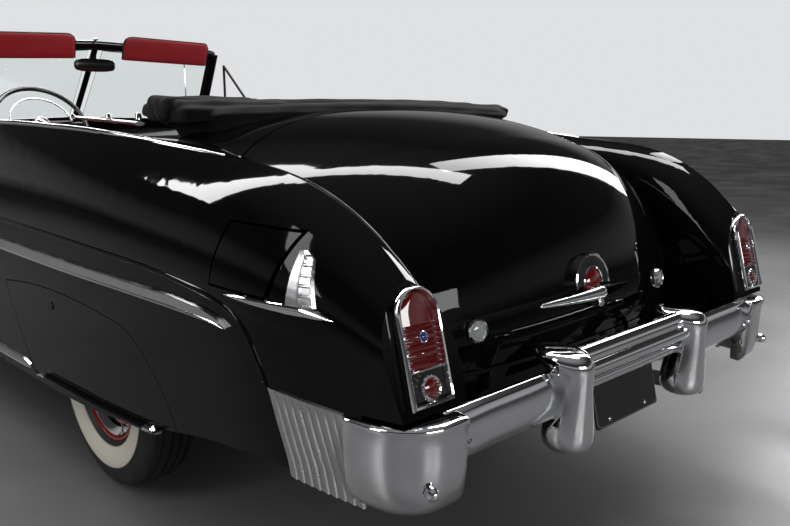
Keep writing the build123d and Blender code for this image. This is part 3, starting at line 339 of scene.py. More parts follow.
def rows_form(name, rows, closed=True, capped=True, round_again=False):
    """Grid whose rows take sections: closed joins each one's ends, capped fills the first and the last."""
    sections = [list(row) + [row[0]] if closed else list(row) for row in rows]
    if round_again:
        sections.append(sections[0])
    bpy.ops.object.select_all(action="DESELECT")
    bpy.ops.mesh.primitive_grid_add(
        x_subdivisions=len(sections[0]) - 1, y_subdivisions=len(sections) - 1, size=1.0)
    piece = bpy.context.object
    piece.name = name
    for vertex, point in zip(piece.data.vertices, [point for section in sections for point in section]):
        vertex.co = point
    bpy.ops.object.mode_set(mode="EDIT")
    bpy.ops.mesh.select_all(action="SELECT")
    bpy.ops.mesh.remove_doubles(threshold=0.00002)
    if capped:
        bpy.ops.mesh.fill_holes(sides=0)
    bpy.ops.mesh.normals_make_consistent(inside=False)
    bpy.ops.object.mode_set(mode="OBJECT")
    return piece


def extruded(name, section, places):
    """Side section of y and z points carried across the car, to some places in x."""
    return rows_form(name, [[(x, y, z) for y, z in section] for x in places])


def turned(name, centre, axis, profile, steps=48, ring=False, flutes=0, depth=0.0):
    """Profile of (radius, height) points spun round an axis, with shallow flutes where they are asked for."""
    centre, axis = Vector(centre), Vector(axis).normalized()
    side = axis.orthogonal().normalized()
    other = axis.cross(side)
    rows = []
    for step in range(steps):
        turn = 2 * pi * step / steps
        out = side * cos(turn) + other * sin(turn)
        wave = 1.0 + depth * cos(flutes * turn) if flutes else 1.0
        rows.append([centre + out * radius * wave + axis * height for radius, height in profile])
    return rows_form(name, rows, closed=ring, capped=False, round_again=True)


def swept(name, path, section, up=(0.0, 0.0, 1.0)):
    """Closed section of (across, up) points carried along a path."""
    path = [Vector(point) for point in path]
    rows = []
    for index, point in enumerate(path):
        before, after = path[max(index - 1, 0)], path[min(index + 1, len(path) - 1)]
        along = (after - before).normalized()
        across = along.cross(Vector(up)).normalized()
        above = across.cross(along)
        rows.append([point + across * u + above * v for u, v in section])
    return rows_form(name, rows)


def wrapped(name, plan, section, side=1):
    """Section of (offset, z) points carried along a plan of (x, y) points; side -1 mirrors the whole."""
    rows = []
    for index, (x, y) in enumerate(plan):
        before, after = plan[max(index - 1, 0)], plan[min(index + 1, len(plan) - 1)]
        along = Vector((after[0] - before[0], after[1] - before[1])).normalized()
        rows.append([(side * (x - along.y * u), y + along.x * u, z) for u, z in section])
    return rows_form(name, rows)


def ellipse(half_u, half_v, count):
    """Section of an oval rod."""
    return [(half_u * cos(2 * pi * k / count), half_v * sin(2 * pi * k / count)) for k in range(count)]


def circle(radius, count=12):
    """Section of a round rod."""
    return ellipse(radius, radius, count)


def soft_box(half_u, half_v, power_u, power_v, count):
    """Section between an oval and a box: the lower the powers, the fuller its corners."""
    return [(half_u * copysign(abs(u) ** power_u, u), half_v * copysign(abs(v) ** power_v, v))
            for u, v in ellipse(1.0, 1.0, count)]


def mirrored(point, side):
    """Point on the left side, or its twin on the right."""
    return Vector((side * point[0], point[1], point[2]))


def joined(name, parts):
    """One piece from several."""
    bpy.ops.object.select_all(action="DESELECT")
    for part in parts:
        part.select_set(True)
    bpy.context.view_layer.objects.active = parts[0]
    if len(parts) > 1:
        bpy.ops.object.join()
    piece = bpy.context.object
    piece.name = name
    return piece


def rounded(piece, width=0.0, levels=0):
    """Bevelled edges and a smoother surface, applied."""
    bpy.context.view_layer.objects.active = piece
    if width:
        bpy.ops.object.modifier_add(type="BEVEL")
        edge = piece.modifiers[-1]
        edge.width = width
        edge.segments = 2
        edge.limit_method = "ANGLE"
        bpy.ops.object.modifier_apply(modifier=edge.name)
    if levels:
        bpy.ops.object.modifier_add(type="SUBSURF")
        smooth = piece.modifiers[-1]
        smooth.levels = levels
        smooth.render_levels = levels
        bpy.ops.object.modifier_apply(modifier=smooth.name)
    return piece


def dressed(piece, body, material, angle=40.0):
    """Finish and body of a new piece: smooth shading by angle, its material if it has none, and the body it
    rides with.
    """
    bpy.ops.object.select_all(action="DESELECT")
    piece.select_set(True)
    bpy.context.view_layer.objects.active = piece
    bpy.ops.object.shade_smooth_by_angle(angle=radians(angle))
    if not piece.data.materials:
        piece.data.materials.append(material)
    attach(piece, body)
    return piece


def chromed(piece, body="body", angle=40.0):
    """Dresses a bright piece."""
    return dressed(piece, body, CHROME, angle)


def colored(material, *parts):
    """Material of some parts of a piece before they are joined."""
    for part in parts:
        part.data.materials.clear()
        part.data.materials.append(material)
    return list(parts)


# Places on the body, to lay trim on

def surface_of(names):
    """Surface of some CAD nodes."""
    vertices, faces = [], []
    for name in names:
        mesh = nodes[name].data
        start = len(vertices)
        vertices += [vertex.co.copy() for vertex in mesh.vertices]
        faces += [[start + index for index in face.vertices] for face in mesh.polygons]
    return BVHTree.FromPolygons(vertices, faces)


BODY_SKIN = surface_of(PAINTED_PANELS + ("underbody",))
SIDE_GAP = 0.008
TOP_GAP = 0.010
CLEARLY_OUT = 0.012


def on_side(side, y, z):
    """Place and outward normal on the body's side, bridged over the gaps between panels."""
    best = None
    for shift in (0.0, -SIDE_GAP, SIDE_GAP):
        hit, normal, _, _ = BODY_SKIN.ray_cast(Vector((side * 1.4, y + shift, z)), Vector((-side, 0, 0)))
        if hit and (best is None or abs(hit.x) > abs(best[0].x) + CLEARLY_OUT):
            best = (Vector((hit.x, y, z)), normal)
    if best is None:
        return Vector((side * 0.9, y, z)), Vector((side, 0, 0))
    spot, normal = best
    return spot, normal if normal.x * side >= 0 else -normal


def on_top(x, y):
    """Place and upward normal on top of the body, bridged over the gaps between panels."""
    best = None
    for shift in (0.0, -TOP_GAP, TOP_GAP):
        hit, normal, _, _ = BODY_SKIN.ray_cast(Vector((x + shift, y, 1.5)), Vector((0, 0, -1)))
        if hit and (best is None or hit.z > best[0].z + CLEARLY_OUT):
            best = (Vector((x, y, hit.z)), normal)
    spot, normal = best
    return spot, normal if normal.z > 0 else -normal


def on_rear(x, z):
    """Place and outward normal on the back of the boot lid."""
    spot, normal, _, _ = BODY_SKIN.ray_cast(Vector((x, 3.0, z)), Vector((0, -1, 0)))
    return spot, normal if normal.y > 0 else -normal


def between(table, value):
    """Row of a table at a value of its first column."""
    for low, high in zip(table, table[1:]):
        if value <= high[0]:
            share = max(0.0, (value - low[0]) / (high[0] - low[0]))
            return [a + (b - a) * share for a, b in zip(low, high)]
    return list(table[-1])


def raised(feet, heights, sunk=0.0015):
    """Closed section over places on the skin: each one raised by its height, and back just under the skin."""
    upper = [foot + normal * height for (foot, normal), height in zip(feet, heights)]
    return upper + [foot - normal * sunk for foot, normal in reversed(feet)]


def side_strip(name, side, table, proud, crown, span=None, step=0.02, count=9):
    """Moulding laid on the body's side: the table gives y, top z and bottom z; crown shapes its section."""
    start, end = span or (table[0][0], table[-1][0])
    steps = max(2, round((end - start) / step))
    shares = [k / (count - 1) for k in range(count)]
    rows = []
    for index in range(steps + 1):
        y = start + (end - start) * index / steps
        _, top, low = between(table, y)
        feet = [on_side(side, y, low + (top - low) * share) for share in shares]
        rows.append(raised(feet, [0.0006 + proud * crown(share) for share in shares]))
    return rows_form(name, rows)


def laid_line(name, side, path, half, proud):
    """Slim bead laid on the body's side along a path of y and z, with three steps to each stretch."""
    spreads = [2 * k / 6 - 1 for k in range(7)]
    rows = []
    for index in range((len(path) - 1) * 3 + 1):
        low = min(index // 3, len(path) - 2)
        here = Vector(path[low]).lerp(Vector(path[low + 1]), index / 3 - low)
        ahead = Vector(path[low + 1]) - Vector(path[low])
        across = Vector((-ahead.y, ahead.x)).normalized()
        feet = [on_side(side, *(here + across * half * spread)) for spread in spreads]
        rows.append(raised(feet, [0.0002 + proud * (1 - spread ** 2) for spread in spreads]))
    return rows_form(name, rows)


def half_round(share):
    """Section of a bead."""
    return max(0.0, 1.0 - (2 * share - 1) ** 2) ** 0.5


def banded(share):
    """Section of a broad moulding: a flat band with a raised rolled edge above and below."""
    edge = min(share, 1 - share)
    if edge < 0.02:
        return 0.1
    return 1.0 if 0.06 < edge < 0.14 else 0.55 if edge >= 0.2 else 0.85


# Side trim, as rows of y, top z and bottom z; the ridge has y and z

SPEAR = [(-1.335, 0.797, 0.795), (-1.24, 0.806, 0.776), (-1.0, 0.812, 0.765), (0.0, 0.806, 0.758),
         (0.726, 0.801, 0.755), (1.251, 0.792, 0.749), (1.644, 0.786, 0.748), (1.906, 0.783, 0.745),
         (2.041, 0.775, 0.742), (2.11, 0.760, 0.740), (2.147, 0.740, 0.737)]
SILL = [(-1.37, 0.352, 0.312), (-0.7, 0.360, 0.318), (0.48, 0.361, 0.319), (0.74, 0.362, 0.322),
        (0.798, 0.345, 0.328)]
SKIRT_BAR = [(0.90, 0.337, 0.329), (0.93, 0.345, 0.327), (1.36, 0.350, 0.330), (1.68, 0.362, 0.340),
             (1.715, 0.356, 0.350)]
SKIRT_BAR_TIPS = (("front", (0.895, 0.955)), ("rear", (1.645, 1.72)))
RIDGE = [(0.500, 0.871), (0.756, 0.864), (0.98, 0.859), (1.197, 0.854), (1.38, 0.849), (1.543, 0.844),
         (1.68, 0.839), (1.796, 0.834), (1.90, 0.826), (1.965, 0.820), (2.04, 0.812), (2.093, 0.803),
         (2.135, 0.791), (2.171, 0.776), (2.195, 0.759), (2.213, 0.737), (2.225, 0.714), (2.234, 0.689),
         (2.242, 0.668), (2.249, 0.642), (2.255, 0.617)]
GROMMET_Y, GROMMET_Z = 1.107, 0.616
GROMMET = [(0.0, 0.003), (0.006, 0.004), (0.010, 0.003), (0.013, 0.0045), (0.016, 0.003), (0.017, -0.001)]
SPEAR_FRONT_GAP = (-0.706, -0.694)
SPEAR_REAR_GAP = (0.474, 0.486)


def side_trim():
    """Spear split where the doors open, sill moulding, skirt bar with bright tips, ridge bead and grommet."""
    for side, word in SIDES:
        for part, body, span in (
                ("wing", "body", (SPEAR[0][0], SPEAR_FRONT_GAP[0])),
                ("door", f"door_{word}", (SPEAR_FRONT_GAP[1], SPEAR_REAR_GAP[0])),
                ("quarter", "body", (SPEAR_REAR_GAP[1], SPEAR[-1][0]))):
            spear = side_strip(f"side_spear_{part}_{word}", side, SPEAR, 0.009, banded, span, count=15)
            dressed(spear, body, STAINLESS, 30)
        sill = side_strip(f"sill_moulding_{word}", side, SILL, 0.007, banded, count=11)
        dressed(sill, "body", STAINLESS, 30)
        bar = side_strip(f"skirt_bar_{word}", side, SKIRT_BAR, 0.020, half_round, step=0.015)
        dressed(bar, "body", BODY_PAINT, 60)
        for tip, span in SKIRT_BAR_TIPS:
            name = f"skirt_bar_{tip}_tip_{word}"
            chromed(side_strip(name, side, SKIRT_BAR, 0.0215, half_round, span, step=0.006), angle=60)
        ridge = laid_line(f"ridge_bead_{word}", side, RIDGE, 0.008, 0.005)
        dressed(ridge, "body", BODY_PAINT, 60)
        grommet = turned(f"skirt_grommet_{word}", *on_side(side, GROMMET_Y, GROMMET_Z), GROMMET, 24)
        dressed(grommet, "body", SATIN_BLACK)


# Belt moulding: rows of y and distance from the middle

BELT = [(-0.69, 0.858), (0.0, 0.862), (0.540, 0.860), (0.987, 0.851), (1.328, 0.835), (1.583, 0.807),
        (1.818, 0.790), (1.919, 0.779)]
BELT_DOOR_END = 0.472
BELT_QUARTER_START = 0.488
BELT_HALF = 0.010
BELT_RISE = 0.0075
BELT_TAPER_FROM, BELT_TAPER_TO = 1.55, 1.925


def belt_moulding():
    """Slim bright moulding along the top edge of door and quarter, tapering out on the deck."""
    for side, word in SIDES:
        for part, body, start, end in (
                ("door", f"door_{word}", BELT[0][0], BELT_DOOR_END),
                ("quarter", "body", BELT_QUARTER_START, BELT[-1][0])):
            rows = []
            steps = round((end - start) / 0.025)
            for index in range(steps + 1):
                y = start + (end - start) * index / steps
                taper = (BELT_TAPER_TO - y) / (BELT_TAPER_TO - BELT_TAPER_FROM)
                slim = 1.0 if y < BELT_TAPER_FROM else max(0.12, taper)
                foot, normal = on_top(side * between(BELT, y)[1], y)
                across = Vector((0, 1, 0)).cross(normal).normalized() * BELT_HALF * slim
                crown = [foot + across * cos(pi * k / 8)
                         + normal * (BELT_RISE * slim ** 0.5 * sin(pi * k / 8) - 0.0006) for k in range(9)]
                rows.append(crown + [foot - across - normal * 0.004, foot + across - normal * 0.004])
            chromed(rows_form(f"belt_moulding_{part}_{word}", rows), body, 60)


# Ornament on the rear wing

SPINDLE = [(2.169, 0.8255, 0.8245), (2.195, 0.828, 0.817), (2.25, 0.8285, 0.811), (2.308, 0.829, 0.807),
           (2.391, 0.830, 0.804), (2.44, 0.820, 0.803), (2.476, 0.808, 0.806)]
FIN_FOOT_Z = 0.824
FIN_HEIGHT = 0.112
FIN_FRONT_Y, FIN_REAR_Y = 2.352, 2.431
FIN_FRONT_LEAN, FIN_REAR_LEAN = 0.012, -0.034
FIN_TIP_CUT, FIN_TIP_FROM = 0.018, 0.85
FIN_COLUMNS, FIN_ROWS = 14, 45
FIN_CELLS = 5.6


def fin_relief(u, v):
    """Height of the fin over the skin at shares of its length and height, with cells in its rear half."""
    if u in (0.0, 1.0) or v in (0.0, 1.0):
        return 0.001
    if 0.5 < u < 0.9 and 0.06 < v < 0.93 and (v * FIN_CELLS) % 1.0 > 0.28:
        return 0.0035
    return 0.0085 - (0.003 * u if u < 0.5 else 0.0)


def fin_ornament():
    """Pointed base bar with an upright fin: smooth in front, a ladder of cells behind."""
    shares = [k / FIN_COLUMNS for k in range(FIN_COLUMNS + 1)]
    for side, word in SIDES:
        base = side_strip(f"fin_base_{word}", side, SPINDLE, 0.012, half_round, step=0.012)
        rows = []
        for index in range(FIN_ROWS + 1):
            v = index / FIN_ROWS
            front = FIN_FRONT_Y + FIN_FRONT_LEAN * v
            tip = FIN_TIP_CUT * max(0.0, v - FIN_TIP_FROM) / (1 - FIN_TIP_FROM)
            rear = FIN_REAR_Y + FIN_REAR_LEAN * v - tip
            feet = [on_side(side, front + (rear - front) * u, FIN_FOOT_Z + FIN_HEIGHT * v) for u in shares]
            rows.append(raised(feet, [fin_relief(u, v) for u in shares]))
        fin = rows_form(f"fin_upright_{word}", rows)
        parts = colored(CHROME, base) + colored(SATIN_ALUMINIUM, fin)
        chromed(joined(f"fin_ornament_{word}", parts), angle=30)


SHIELD_FRONT_Y, SHIELD_LENGTH = 2.262, 0.208
SHIELD_TOP_Z, SHIELD_DEPTH = 0.622, 0.215
SHIELD_TURN_Z, SHIELD_TUCK = 0.452, 0.10
SHIELD_FLUTES = 9
SHIELD_THICKNESS, TOOTH_DEPTH, ROLL_HEIGHT = 0.003, 0.0045, 0.004


def gravel_shields():
    """Satin plates ahead of the bumper caps, with slanted saw-tooth flutes and a rolled top edge."""
    for side, word in SIDES:
        rows = []
        for share in [k / 90 for k in range(91)]:
            tooth = TOOTH_DEPTH * ((share * SHIELD_FLUTES) % 1.0)
            feet, heights = [], []
            for down in [k / 12 for k in range(13)]:
                y = SHIELD_FRONT_Y + SHIELD_LENGTH * share + 0.020 * down
                z = SHIELD_TOP_Z - 0.018 * share - SHIELD_DEPTH * down
                spot, normal = on_side(side, y, max(z, SHIELD_TURN_Z))
                tucked = side * SHIELD_TUCK * max(0.0, SHIELD_TURN_Z - z)
                feet.append((Vector((spot.x - tucked, y, z)), normal))
                rolled = ROLL_HEIGHT * max(0.0, 1 - abs(down - 0.03) / 0.05)
                heights.append(SHIELD_THICKNESS + tooth * min(1.0, down / 0.08) + rolled)
            rows.append(raised(feet, heights, 0.002))
        shield = rows_form(f"gravel_shield_{word}", rows)
        dressed(shield, "body", SATIN_ALUMINIUM, 25)


# Bumpers

GUARD_X = 0.290
# Oval sections of a guard: z, y, half width, half depth
GUARD = [(0.398, 2.630, 0.032, 0.034), (0.404, 2.627, 0.052, 0.052), (0.425, 2.624, 0.067, 0.065),
         (0.470, 2.626, 0.064, 0.062), (0.530, 2.634, 0.051, 0.053), (0.575, 2.638, 0.044, 0.048),
         (0.600, 2.630, 0.051, 0.059), (0.622, 2.612, 0.062, 0.077), (0.641, 2.602, 0.058, 0.073),
         (0.650, 2.590, 0.040, 0.052), (0.652, 2.586, 0.012, 0.020)]
# Sections of (offset, z) points
CAP_SECTION = [(-0.045, 0.398), (-0.072, 0.402), (-0.074, 0.50), (-0.075, 0.604), (-0.045, 0.6055),
               (-0.018, 0.604), (-0.006, 0.600), (0.0, 0.593), (-0.004, 0.583), (-0.008, 0.555),
               (-0.009, 0.52), (-0.011, 0.485), (-0.015, 0.455), (-0.022, 0.425), (-0.032, 0.408)]
FRONT_BAR_SECTION = [(0.034, 0.388), (0.034, 0.458), (0.034, 0.528), (0.010, 0.532), (-0.004, 0.526),
                     (-0.012, 0.512), (-0.016, 0.489), (-0.019, 0.47), (-0.0195, 0.452), (-0.018, 0.43),
                     (-0.013, 0.412), (-0.004, 0.394), (0.014, 0.382)]
# Section of (y, z) points
SIDE_BAR_SECTION = [(2.600, 0.492), (2.604, 0.608), (2.616, 0.609), (2.629, 0.600), (2.636, 0.582),
                    (2.6395, 0.555), (2.639, 0.530), (2.634, 0.508), (2.624, 0.493), (2.612, 0.489)]
CAP_BOLT = [(0.0, 0.013), (0.006, 0.012), (0.011, 0.008), (0.013, 0.002), (0.015, 0.0), (0.015, -0.012)]
BAR_BOLT = [(0.0, 0.010), (0.007, 0.009), (0.011, 0.005), (0.012, -0.006)]
# Rolls between the rear guards: y, z, radius
REAR_ROLLS = ((2.618, 0.618, 0.027), (2.640, 0.590, 0.021), (2.622, 0.545, 0.016))
ROLL_PLACES = (-0.28, -0.14, 0.0, 0.14, 0.28)
SIDE_BAR_PLACES = (0.286, 0.45, 0.60, 0.726)
CAP_CORNER, CAP_RADII = (0.738, 2.532), (0.131, 0.130)
CAP_BOLT_AT, BAR_BOLT_AT = Vector((0.791, 2.650, 0.462)), Vector((0.668, 2.636, 0.53))
FRONT_CORNER = [(-0.936, -2.385), (-0.934, -2.44), (-0.922, -2.49), (-0.893, -2.545), (-0.845, -2.585),
                (-0.78, -2.604)]
FRONT_BOW_Y, FRONT_BOW_SAG = -2.656, 0.044
# Irons between frame and bumper: inner and outer edge in x, and spines of y and z
IRON_INNER_X, IRON_OUTER_X = 0.41, 0.45
REAR_IRON = ((2.385, 0.425), (2.50, 0.46), (2.61, 0.515))
FRONT_IRON = ((-2.385, 0.37), (-2.50, 0.41), (-2.63, 0.455))


def arc_points(centre, radius_x, radius_y, start, end, count):
    """Points on an arc in plan, in degrees from +X towards +Y."""
    angles = [radians(start + (end - start) * k / count) for k in range(count + 1)]
    return [(centre[0] + radius_x * cos(angle), centre[1] + radius_y * sin(angle)) for angle in angles]


def guard_form(x, end):
    """Bumper guard: a stack of oval sections from the rounded foot to the bulbous nose."""
    rows = [[(x + u, end * (y + v), z) for u, v in ellipse(half_x, half_y, 24)]
            for z, y, half_x, half_y in GUARD]
    return rounded(rows_form("guard", rows), levels=2)


def bumper_iron(side, half_height, spine):
    """Flat iron that carries a bumper, along a spine of y and z."""
    corners = ((IRON_INNER_X, -half_height), (IRON_OUTER_X, -half_height), (IRON_OUTER_X, half_height),
               (IRON_INNER_X, half_height))
    return rows_form("iron", [[(side * x, y, z + rise) for x, rise in corners] for y, z in spine])


def bumper(name, parts, node):
    """Parts of a bumper as one chromed piece in place of its CAD node."""
    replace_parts(chromed(joined(name, parts), angle=35), node)


def rear_bumper():
    """Two guards, wrapped end caps with a ledge on top, side bars and the rolls between the guards."""
    plan = [(0.690, 2.662), (0.71, 2.662)] + arc_points(CAP_CORNER, *CAP_RADII, 90, 12, 12)
    plan += [(0.872, 2.535), (0.876, 2.50), (0.878, 2.464)]
    parts = []
    for side in (-1, 1):
        parts.append(rounded(wrapped("cap", plan, CAP_SECTION, side), 0.004))
        bar = extruded("side_bar", SIDE_BAR_SECTION, [side * x for x in SIDE_BAR_PLACES])
        parts.append(rounded(bar, 0.002))
        parts.append(guard_form(side * GUARD_X, 1))
        parts.append(turned("cap_bolt", mirrored(CAP_BOLT_AT, side), (side * 0.35, 1, 0), CAP_BOLT, 20))
        parts.append(turned("bar_bolt", mirrored(BAR_BOLT_AT, side), (0, 1, 0.1), BAR_BOLT, 20))
        parts.append(bumper_iron(side, 0.022, REAR_IRON))
    for y, z, radius in REAR_ROLLS:
        parts.append(swept("roll", [(x, y, z) for x in ROLL_PLACES], circle(radius, 24)))
    bumper("chrome_rear_bumper", parts, "rear_bumper")


def front_bumper():
    """One rounded bar wrapped round the corners, with two guards."""
    bow = [(0.1 * k, FRONT_BOW_Y + FRONT_BOW_SAG * (k / 7) ** 2) for k in range(-7, 8)]
    plan = FRONT_CORNER + bow + [(-x, y) for x, y in reversed(FRONT_CORNER)]
    parts = [rounded(wrapped("bar", plan, FRONT_BAR_SECTION), 0.003)]
    for side in (-1, 1):
        parts.append(guard_form(side * GUARD_X, -1))
        parts.append(bumper_iron(side, 0.03, FRONT_IRON))
    bumper("chrome_front_bumper", parts, "front_bumper")


# Lamps

TAIL_FOOT = Vector((0.760, 2.610, 0.632))
TAIL_UP = Vector((0.0, -0.058, 0.230)).normalized()
TAIL_BACK = Vector((0.0, 0.230, 0.058)).normalized()
LENS_HALF = 0.048
LENS_FOOT, LENS_HEIGHT = 0.076, 0.158
LENS_ARCH = 0.186
RIB_PITCH, RIB_DEPTH, RIBS_TOP = 0.0115, 0.0022, 0.165
REFLECTOR_UP, JEWEL_UP = 0.036, 0.140
HEADLAMP_AT = Vector((0.715, -2.600, 0.742))
# Rings of the bezel: half width, foot, top, and how far they stand out
BEZEL = ((0.056, 0.0, 0.242, -0.004), (0.060, -0.002, 0.246, 0.004), (0.058, 0.0, 0.244, 0.018),
         (0.055, 0.003, 0.241, 0.021), (0.0515, 0.007, 0.2375, 0.0195), (0.0485, 0.010, 0.2345, 0.010),
         (0.048, 0.011, 0.234, 0.003))
# Black panel below the lens: height up the lamp and how far it stands out
LAMP_PANEL = ((0.010, 0.004), (0.014, 0.009), (0.066, 0.009), (0.0735, 0.012), (0.077, 0.004))
REFLECTOR_RING = [(0.027, 0.006), (0.028, 0.014), (0.025, 0.019), (0.021, 0.018), (0.0205, 0.008)]
REFLECTOR = [(0.0, 0.019), (0.008, 0.0185), (0.015, 0.0165), (0.0215, 0.012)]
JEWEL_RING = [(0.0125, 0.012), (0.0125, 0.020), (0.0105, 0.022), (0.008, 0.019), (0.008, 0.012)]
JEWEL = [(0.0, 0.0225), (0.004, 0.0218), (0.0085, 0.018)]
HEADLAMP_RING = [(0.104, -0.004), (0.109, 0.004), (0.108, 0.014), (0.102, 0.022), (0.094, 0.024),
                 (0.088, 0.020), (0.087, 0.006)]


def on_tail(side, across, up, out):
    """Point in the tilted frame of a tail lamp."""
    return mirrored(TAIL_FOOT, side) + Vector((across, 0, 0)) + TAIL_UP * up + TAIL_BACK * out


def arch(side, half, foot, top, out):
    """Arched outline of the tail lamp."""
    shoulder = top - half
    uprights = [foot + (shoulder - foot) * k / 5 for k in range(1, 5)]
    outline = [(-half, foot), (0.0, foot), (half, foot)] + [(half, up) for up in uprights]
    outline += [(half * cos(pi * k / 18), shoulder + half * sin(pi * k / 18)) for k in range(19)]
    outline += [(-half, up) for up in reversed(uprights)]
    return [on_tail(side, u, v, out) for u, v in outline]


def ribbed_lens(side):
    """Red lens with horizontal ribs over its lower half and a plain upper part."""
    rows = []
    for index in range(61):
        v = LENS_FOOT + LENS_HEIGHT * index / 60
        half = LENS_HALF if v < LENS_ARCH else max(0.0, LENS_HALF ** 2 - (v - LENS_ARCH) ** 2) ** 0.5
        rib = RIB_DEPTH * sin(v * 2 * pi / RIB_PITCH) if v < RIBS_TOP else 0.0
        row = []
        for share in [-1 + k / 6 for k in range(13)]:
            crown = 0.010 * (1 - share ** 2) * min(1.0, half / 0.02)
            row.append(on_tail(side, half * share, v, 0.006 + crown + (rib if abs(share) < 1 else 0)))
        rows.append(row)
    return rows_form("lens", rows, closed=False, capped=False)


def tail_lamps():
    """Tall arched bezels with a ribbed red lens, a blue jewel and a small round reflector below."""
    frames, lenses = [], []
    for side in (-1, 1):
        reflector_at, jewel_at = on_tail(side, 0, REFLECTOR_UP, 0), on_tail(side, 0, JEWEL_UP, 0)
        bezel = rows_form("bezel", [arch(side, *ring) for ring in BEZEL], capped=False)
        panel = rows_form("panel", [
            [on_tail(side, u, low, out) for u, out in (
                (-0.0485, 0.002), (-0.0465, deep), (0.0465, deep), (0.0485, 0.002))]
            for low, deep in LAMP_PANEL])
        cross_bar = rows_form("cross_bar", [
            [on_tail(side, x, 0.074 + u, 0.012 + v) for u, v in ellipse(0.0035, 0.005, 10)]
            for x in (-0.049, 0.0, 0.049)])
        ring = turned("reflector_ring", reflector_at, TAIL_BACK, REFLECTOR_RING, 60, ring=True, flutes=20,
                      depth=0.03)
        jewel_ring = turned("jewel_ring", jewel_at, TAIL_BACK, JEWEL_RING, 32, ring=True)
        headlamp_at = mirrored(HEADLAMP_AT, side)
        headlamp = turned("headlamp_ring", headlamp_at, (0, -1, 0), HEADLAMP_RING, 64, ring=True)
        frames += colored(CHROME, bezel, cross_bar, ring, jewel_ring, headlamp) + colored(SATIN_BLACK, panel)
        frames += colored(JEWEL_BLUE, turned("jewel", jewel_at, TAIL_BACK, JEWEL, 20))
        lenses += [ribbed_lens(side), turned("reflector", reflector_at, TAIL_BACK, REFLECTOR, 40)]
    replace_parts(chromed(joined("lamp_bezels", frames)), "lamp_rims")
    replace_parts(dressed(joined("red_tail_lenses", lenses), "body", LENS_RED, 50), "tail_lenses")


# Boot lid: handle, emblem and reversing lamps

HANDLE_HALF = 0.215
LOCK = [(0.0, 0.030), (0.009, 0.030), (0.0125, 0.027), (0.0135, 0.0), (0.015, -0.030)]
# Sections of the peak over the lock: z, half width, half depth, shift along y
PEAK = ((0.716, 0.020, 0.020, 0.0), (0.735, 0.017, 0.019, 0.0), (0.752, 0.011, 0.015, -0.004),
        (0.766, 0.003, 0.005, -0.012))
HANDLE_Y = 2.500
HANDLE_FOOT = ((0.150, 2.466, 0.708), (0.135, 2.49, 0.716))
EMBLEM_CENTRE = Vector((0.0, 2.488, 0.752))
EMBLEM_UP = Vector((0.0, -0.16, 1.0)).normalized()
EMBLEM_OUT = Vector((0.0, 1.0, 0.16)).normalized()
REVERSING_X, REVERSING_Z = 0.435, 0.693
REVERSING_BEZEL = [(0.030, -0.012), (0.031, 0.005), (0.029, 0.011), (0.025, 0.013), (0.0225, 0.010),
                   (0.0225, 0.0)]
REVERSING_LENS = [(0.0, 0.016), (0.008, 0.0155), (0.015, 0.014), (0.020, 0.0115), (0.0228, 0.008)]


def lid_handle():
    """Long winged handle on two feet, with its lock and the peak that rises from it."""
    wing = []
    for k in range(-16, 17):
        share = k / 16
        near = 1 - abs(share)
        y = 2.486 + 0.040 * near ** 1.3 - 0.010 * abs(share)
        z = 0.716 + 0.012 * near ** 2
        section = ellipse(0.004 + 0.011 * near ** 0.6, 0.005 + 0.013 * near ** 0.8, 14)
        wing.append([(HANDLE_HALF * share, y + u, z + v) for u, v in section])
    parts = [rounded(rows_form("wing", wing), levels=1)]
    for side in (-1, 1):
        parts.append(swept("wing_foot", [mirrored(point, side) for point in HANDLE_FOOT], circle(0.009)))
    parts.append(turned("lock", (0, HANDLE_Y, 0.700), (0, 1, 0.05), LOCK, 28))
    parts.append(rows_form("peak", [
        [(u, HANDLE_Y + shift + v, z) for u, v in ellipse(half, depth, 12)]
        for z, half, depth, shift in PEAK]))
    return colored(CHROME, *parts)


def emblem():
    """Plain half-round rings about a red dome, with no lettering."""
    parts = []
    for name, inner, outer, height, material in (
            ("emblem_edge", 0.072, 0.080, 0.011, CHROME), ("emblem_ring", 0.044, 0.073, 0.007, SATIN_BLACK),
            ("emblem_inner_edge", 0.040, 0.045, 0.012, CHROME)):
        profile = ((inner, -0.03), (inner, height), ((inner + outer) / 2, height + 0.002), (outer, height),
                   (outer, -0.03))
        rows = []
        for k in range(41):
            turn = pi * (k / 40) * 1.08 - 0.04 * pi
            radial = Vector((cos(turn), 0, 0)) + EMBLEM_UP * sin(turn)
            rows.append([EMBLEM_CENTRE + radial * radius + EMBLEM_OUT * out for radius, out in profile])
        parts += colored(material, rows_form(name, rows))
    dome = []
    for k in range(13):
        lift = (pi / 2) * k / 12
        middle = EMBLEM_CENTRE + EMBLEM_OUT * (0.002 + 0.020 * sin(lift))
        dome.append([middle + Vector((u, 0, 0)) + EMBLEM_UP * v for u, v in circle(0.0405 * cos(lift), 32)])
    return parts + colored(LENS_RED, rows_form("emblem_dome", dome))


def lid_trim():
    """Handle, emblem and two round reversing lamps with fluted rims."""
    parts = lid_handle() + emblem()
    for side in (-1, 1):
        seat, normal = on_rear(side * REVERSING_X, REVERSING_Z)
        bezel = turned("reversing_bezel", seat, normal, REVERSING_BEZEL, 64, ring=True, flutes=16,
                       depth=0.012)
        lens = turned("reversing_lens", seat, normal, REVERSING_LENS, 64, flutes=16, depth=0.03)
        parts += colored(CHROME, bezel) + colored(LENS_CLEAR, lens)
    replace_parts(chromed(joined("boot_lid_handle_and_lamps", parts), "boot_lid"), "lid_trim")


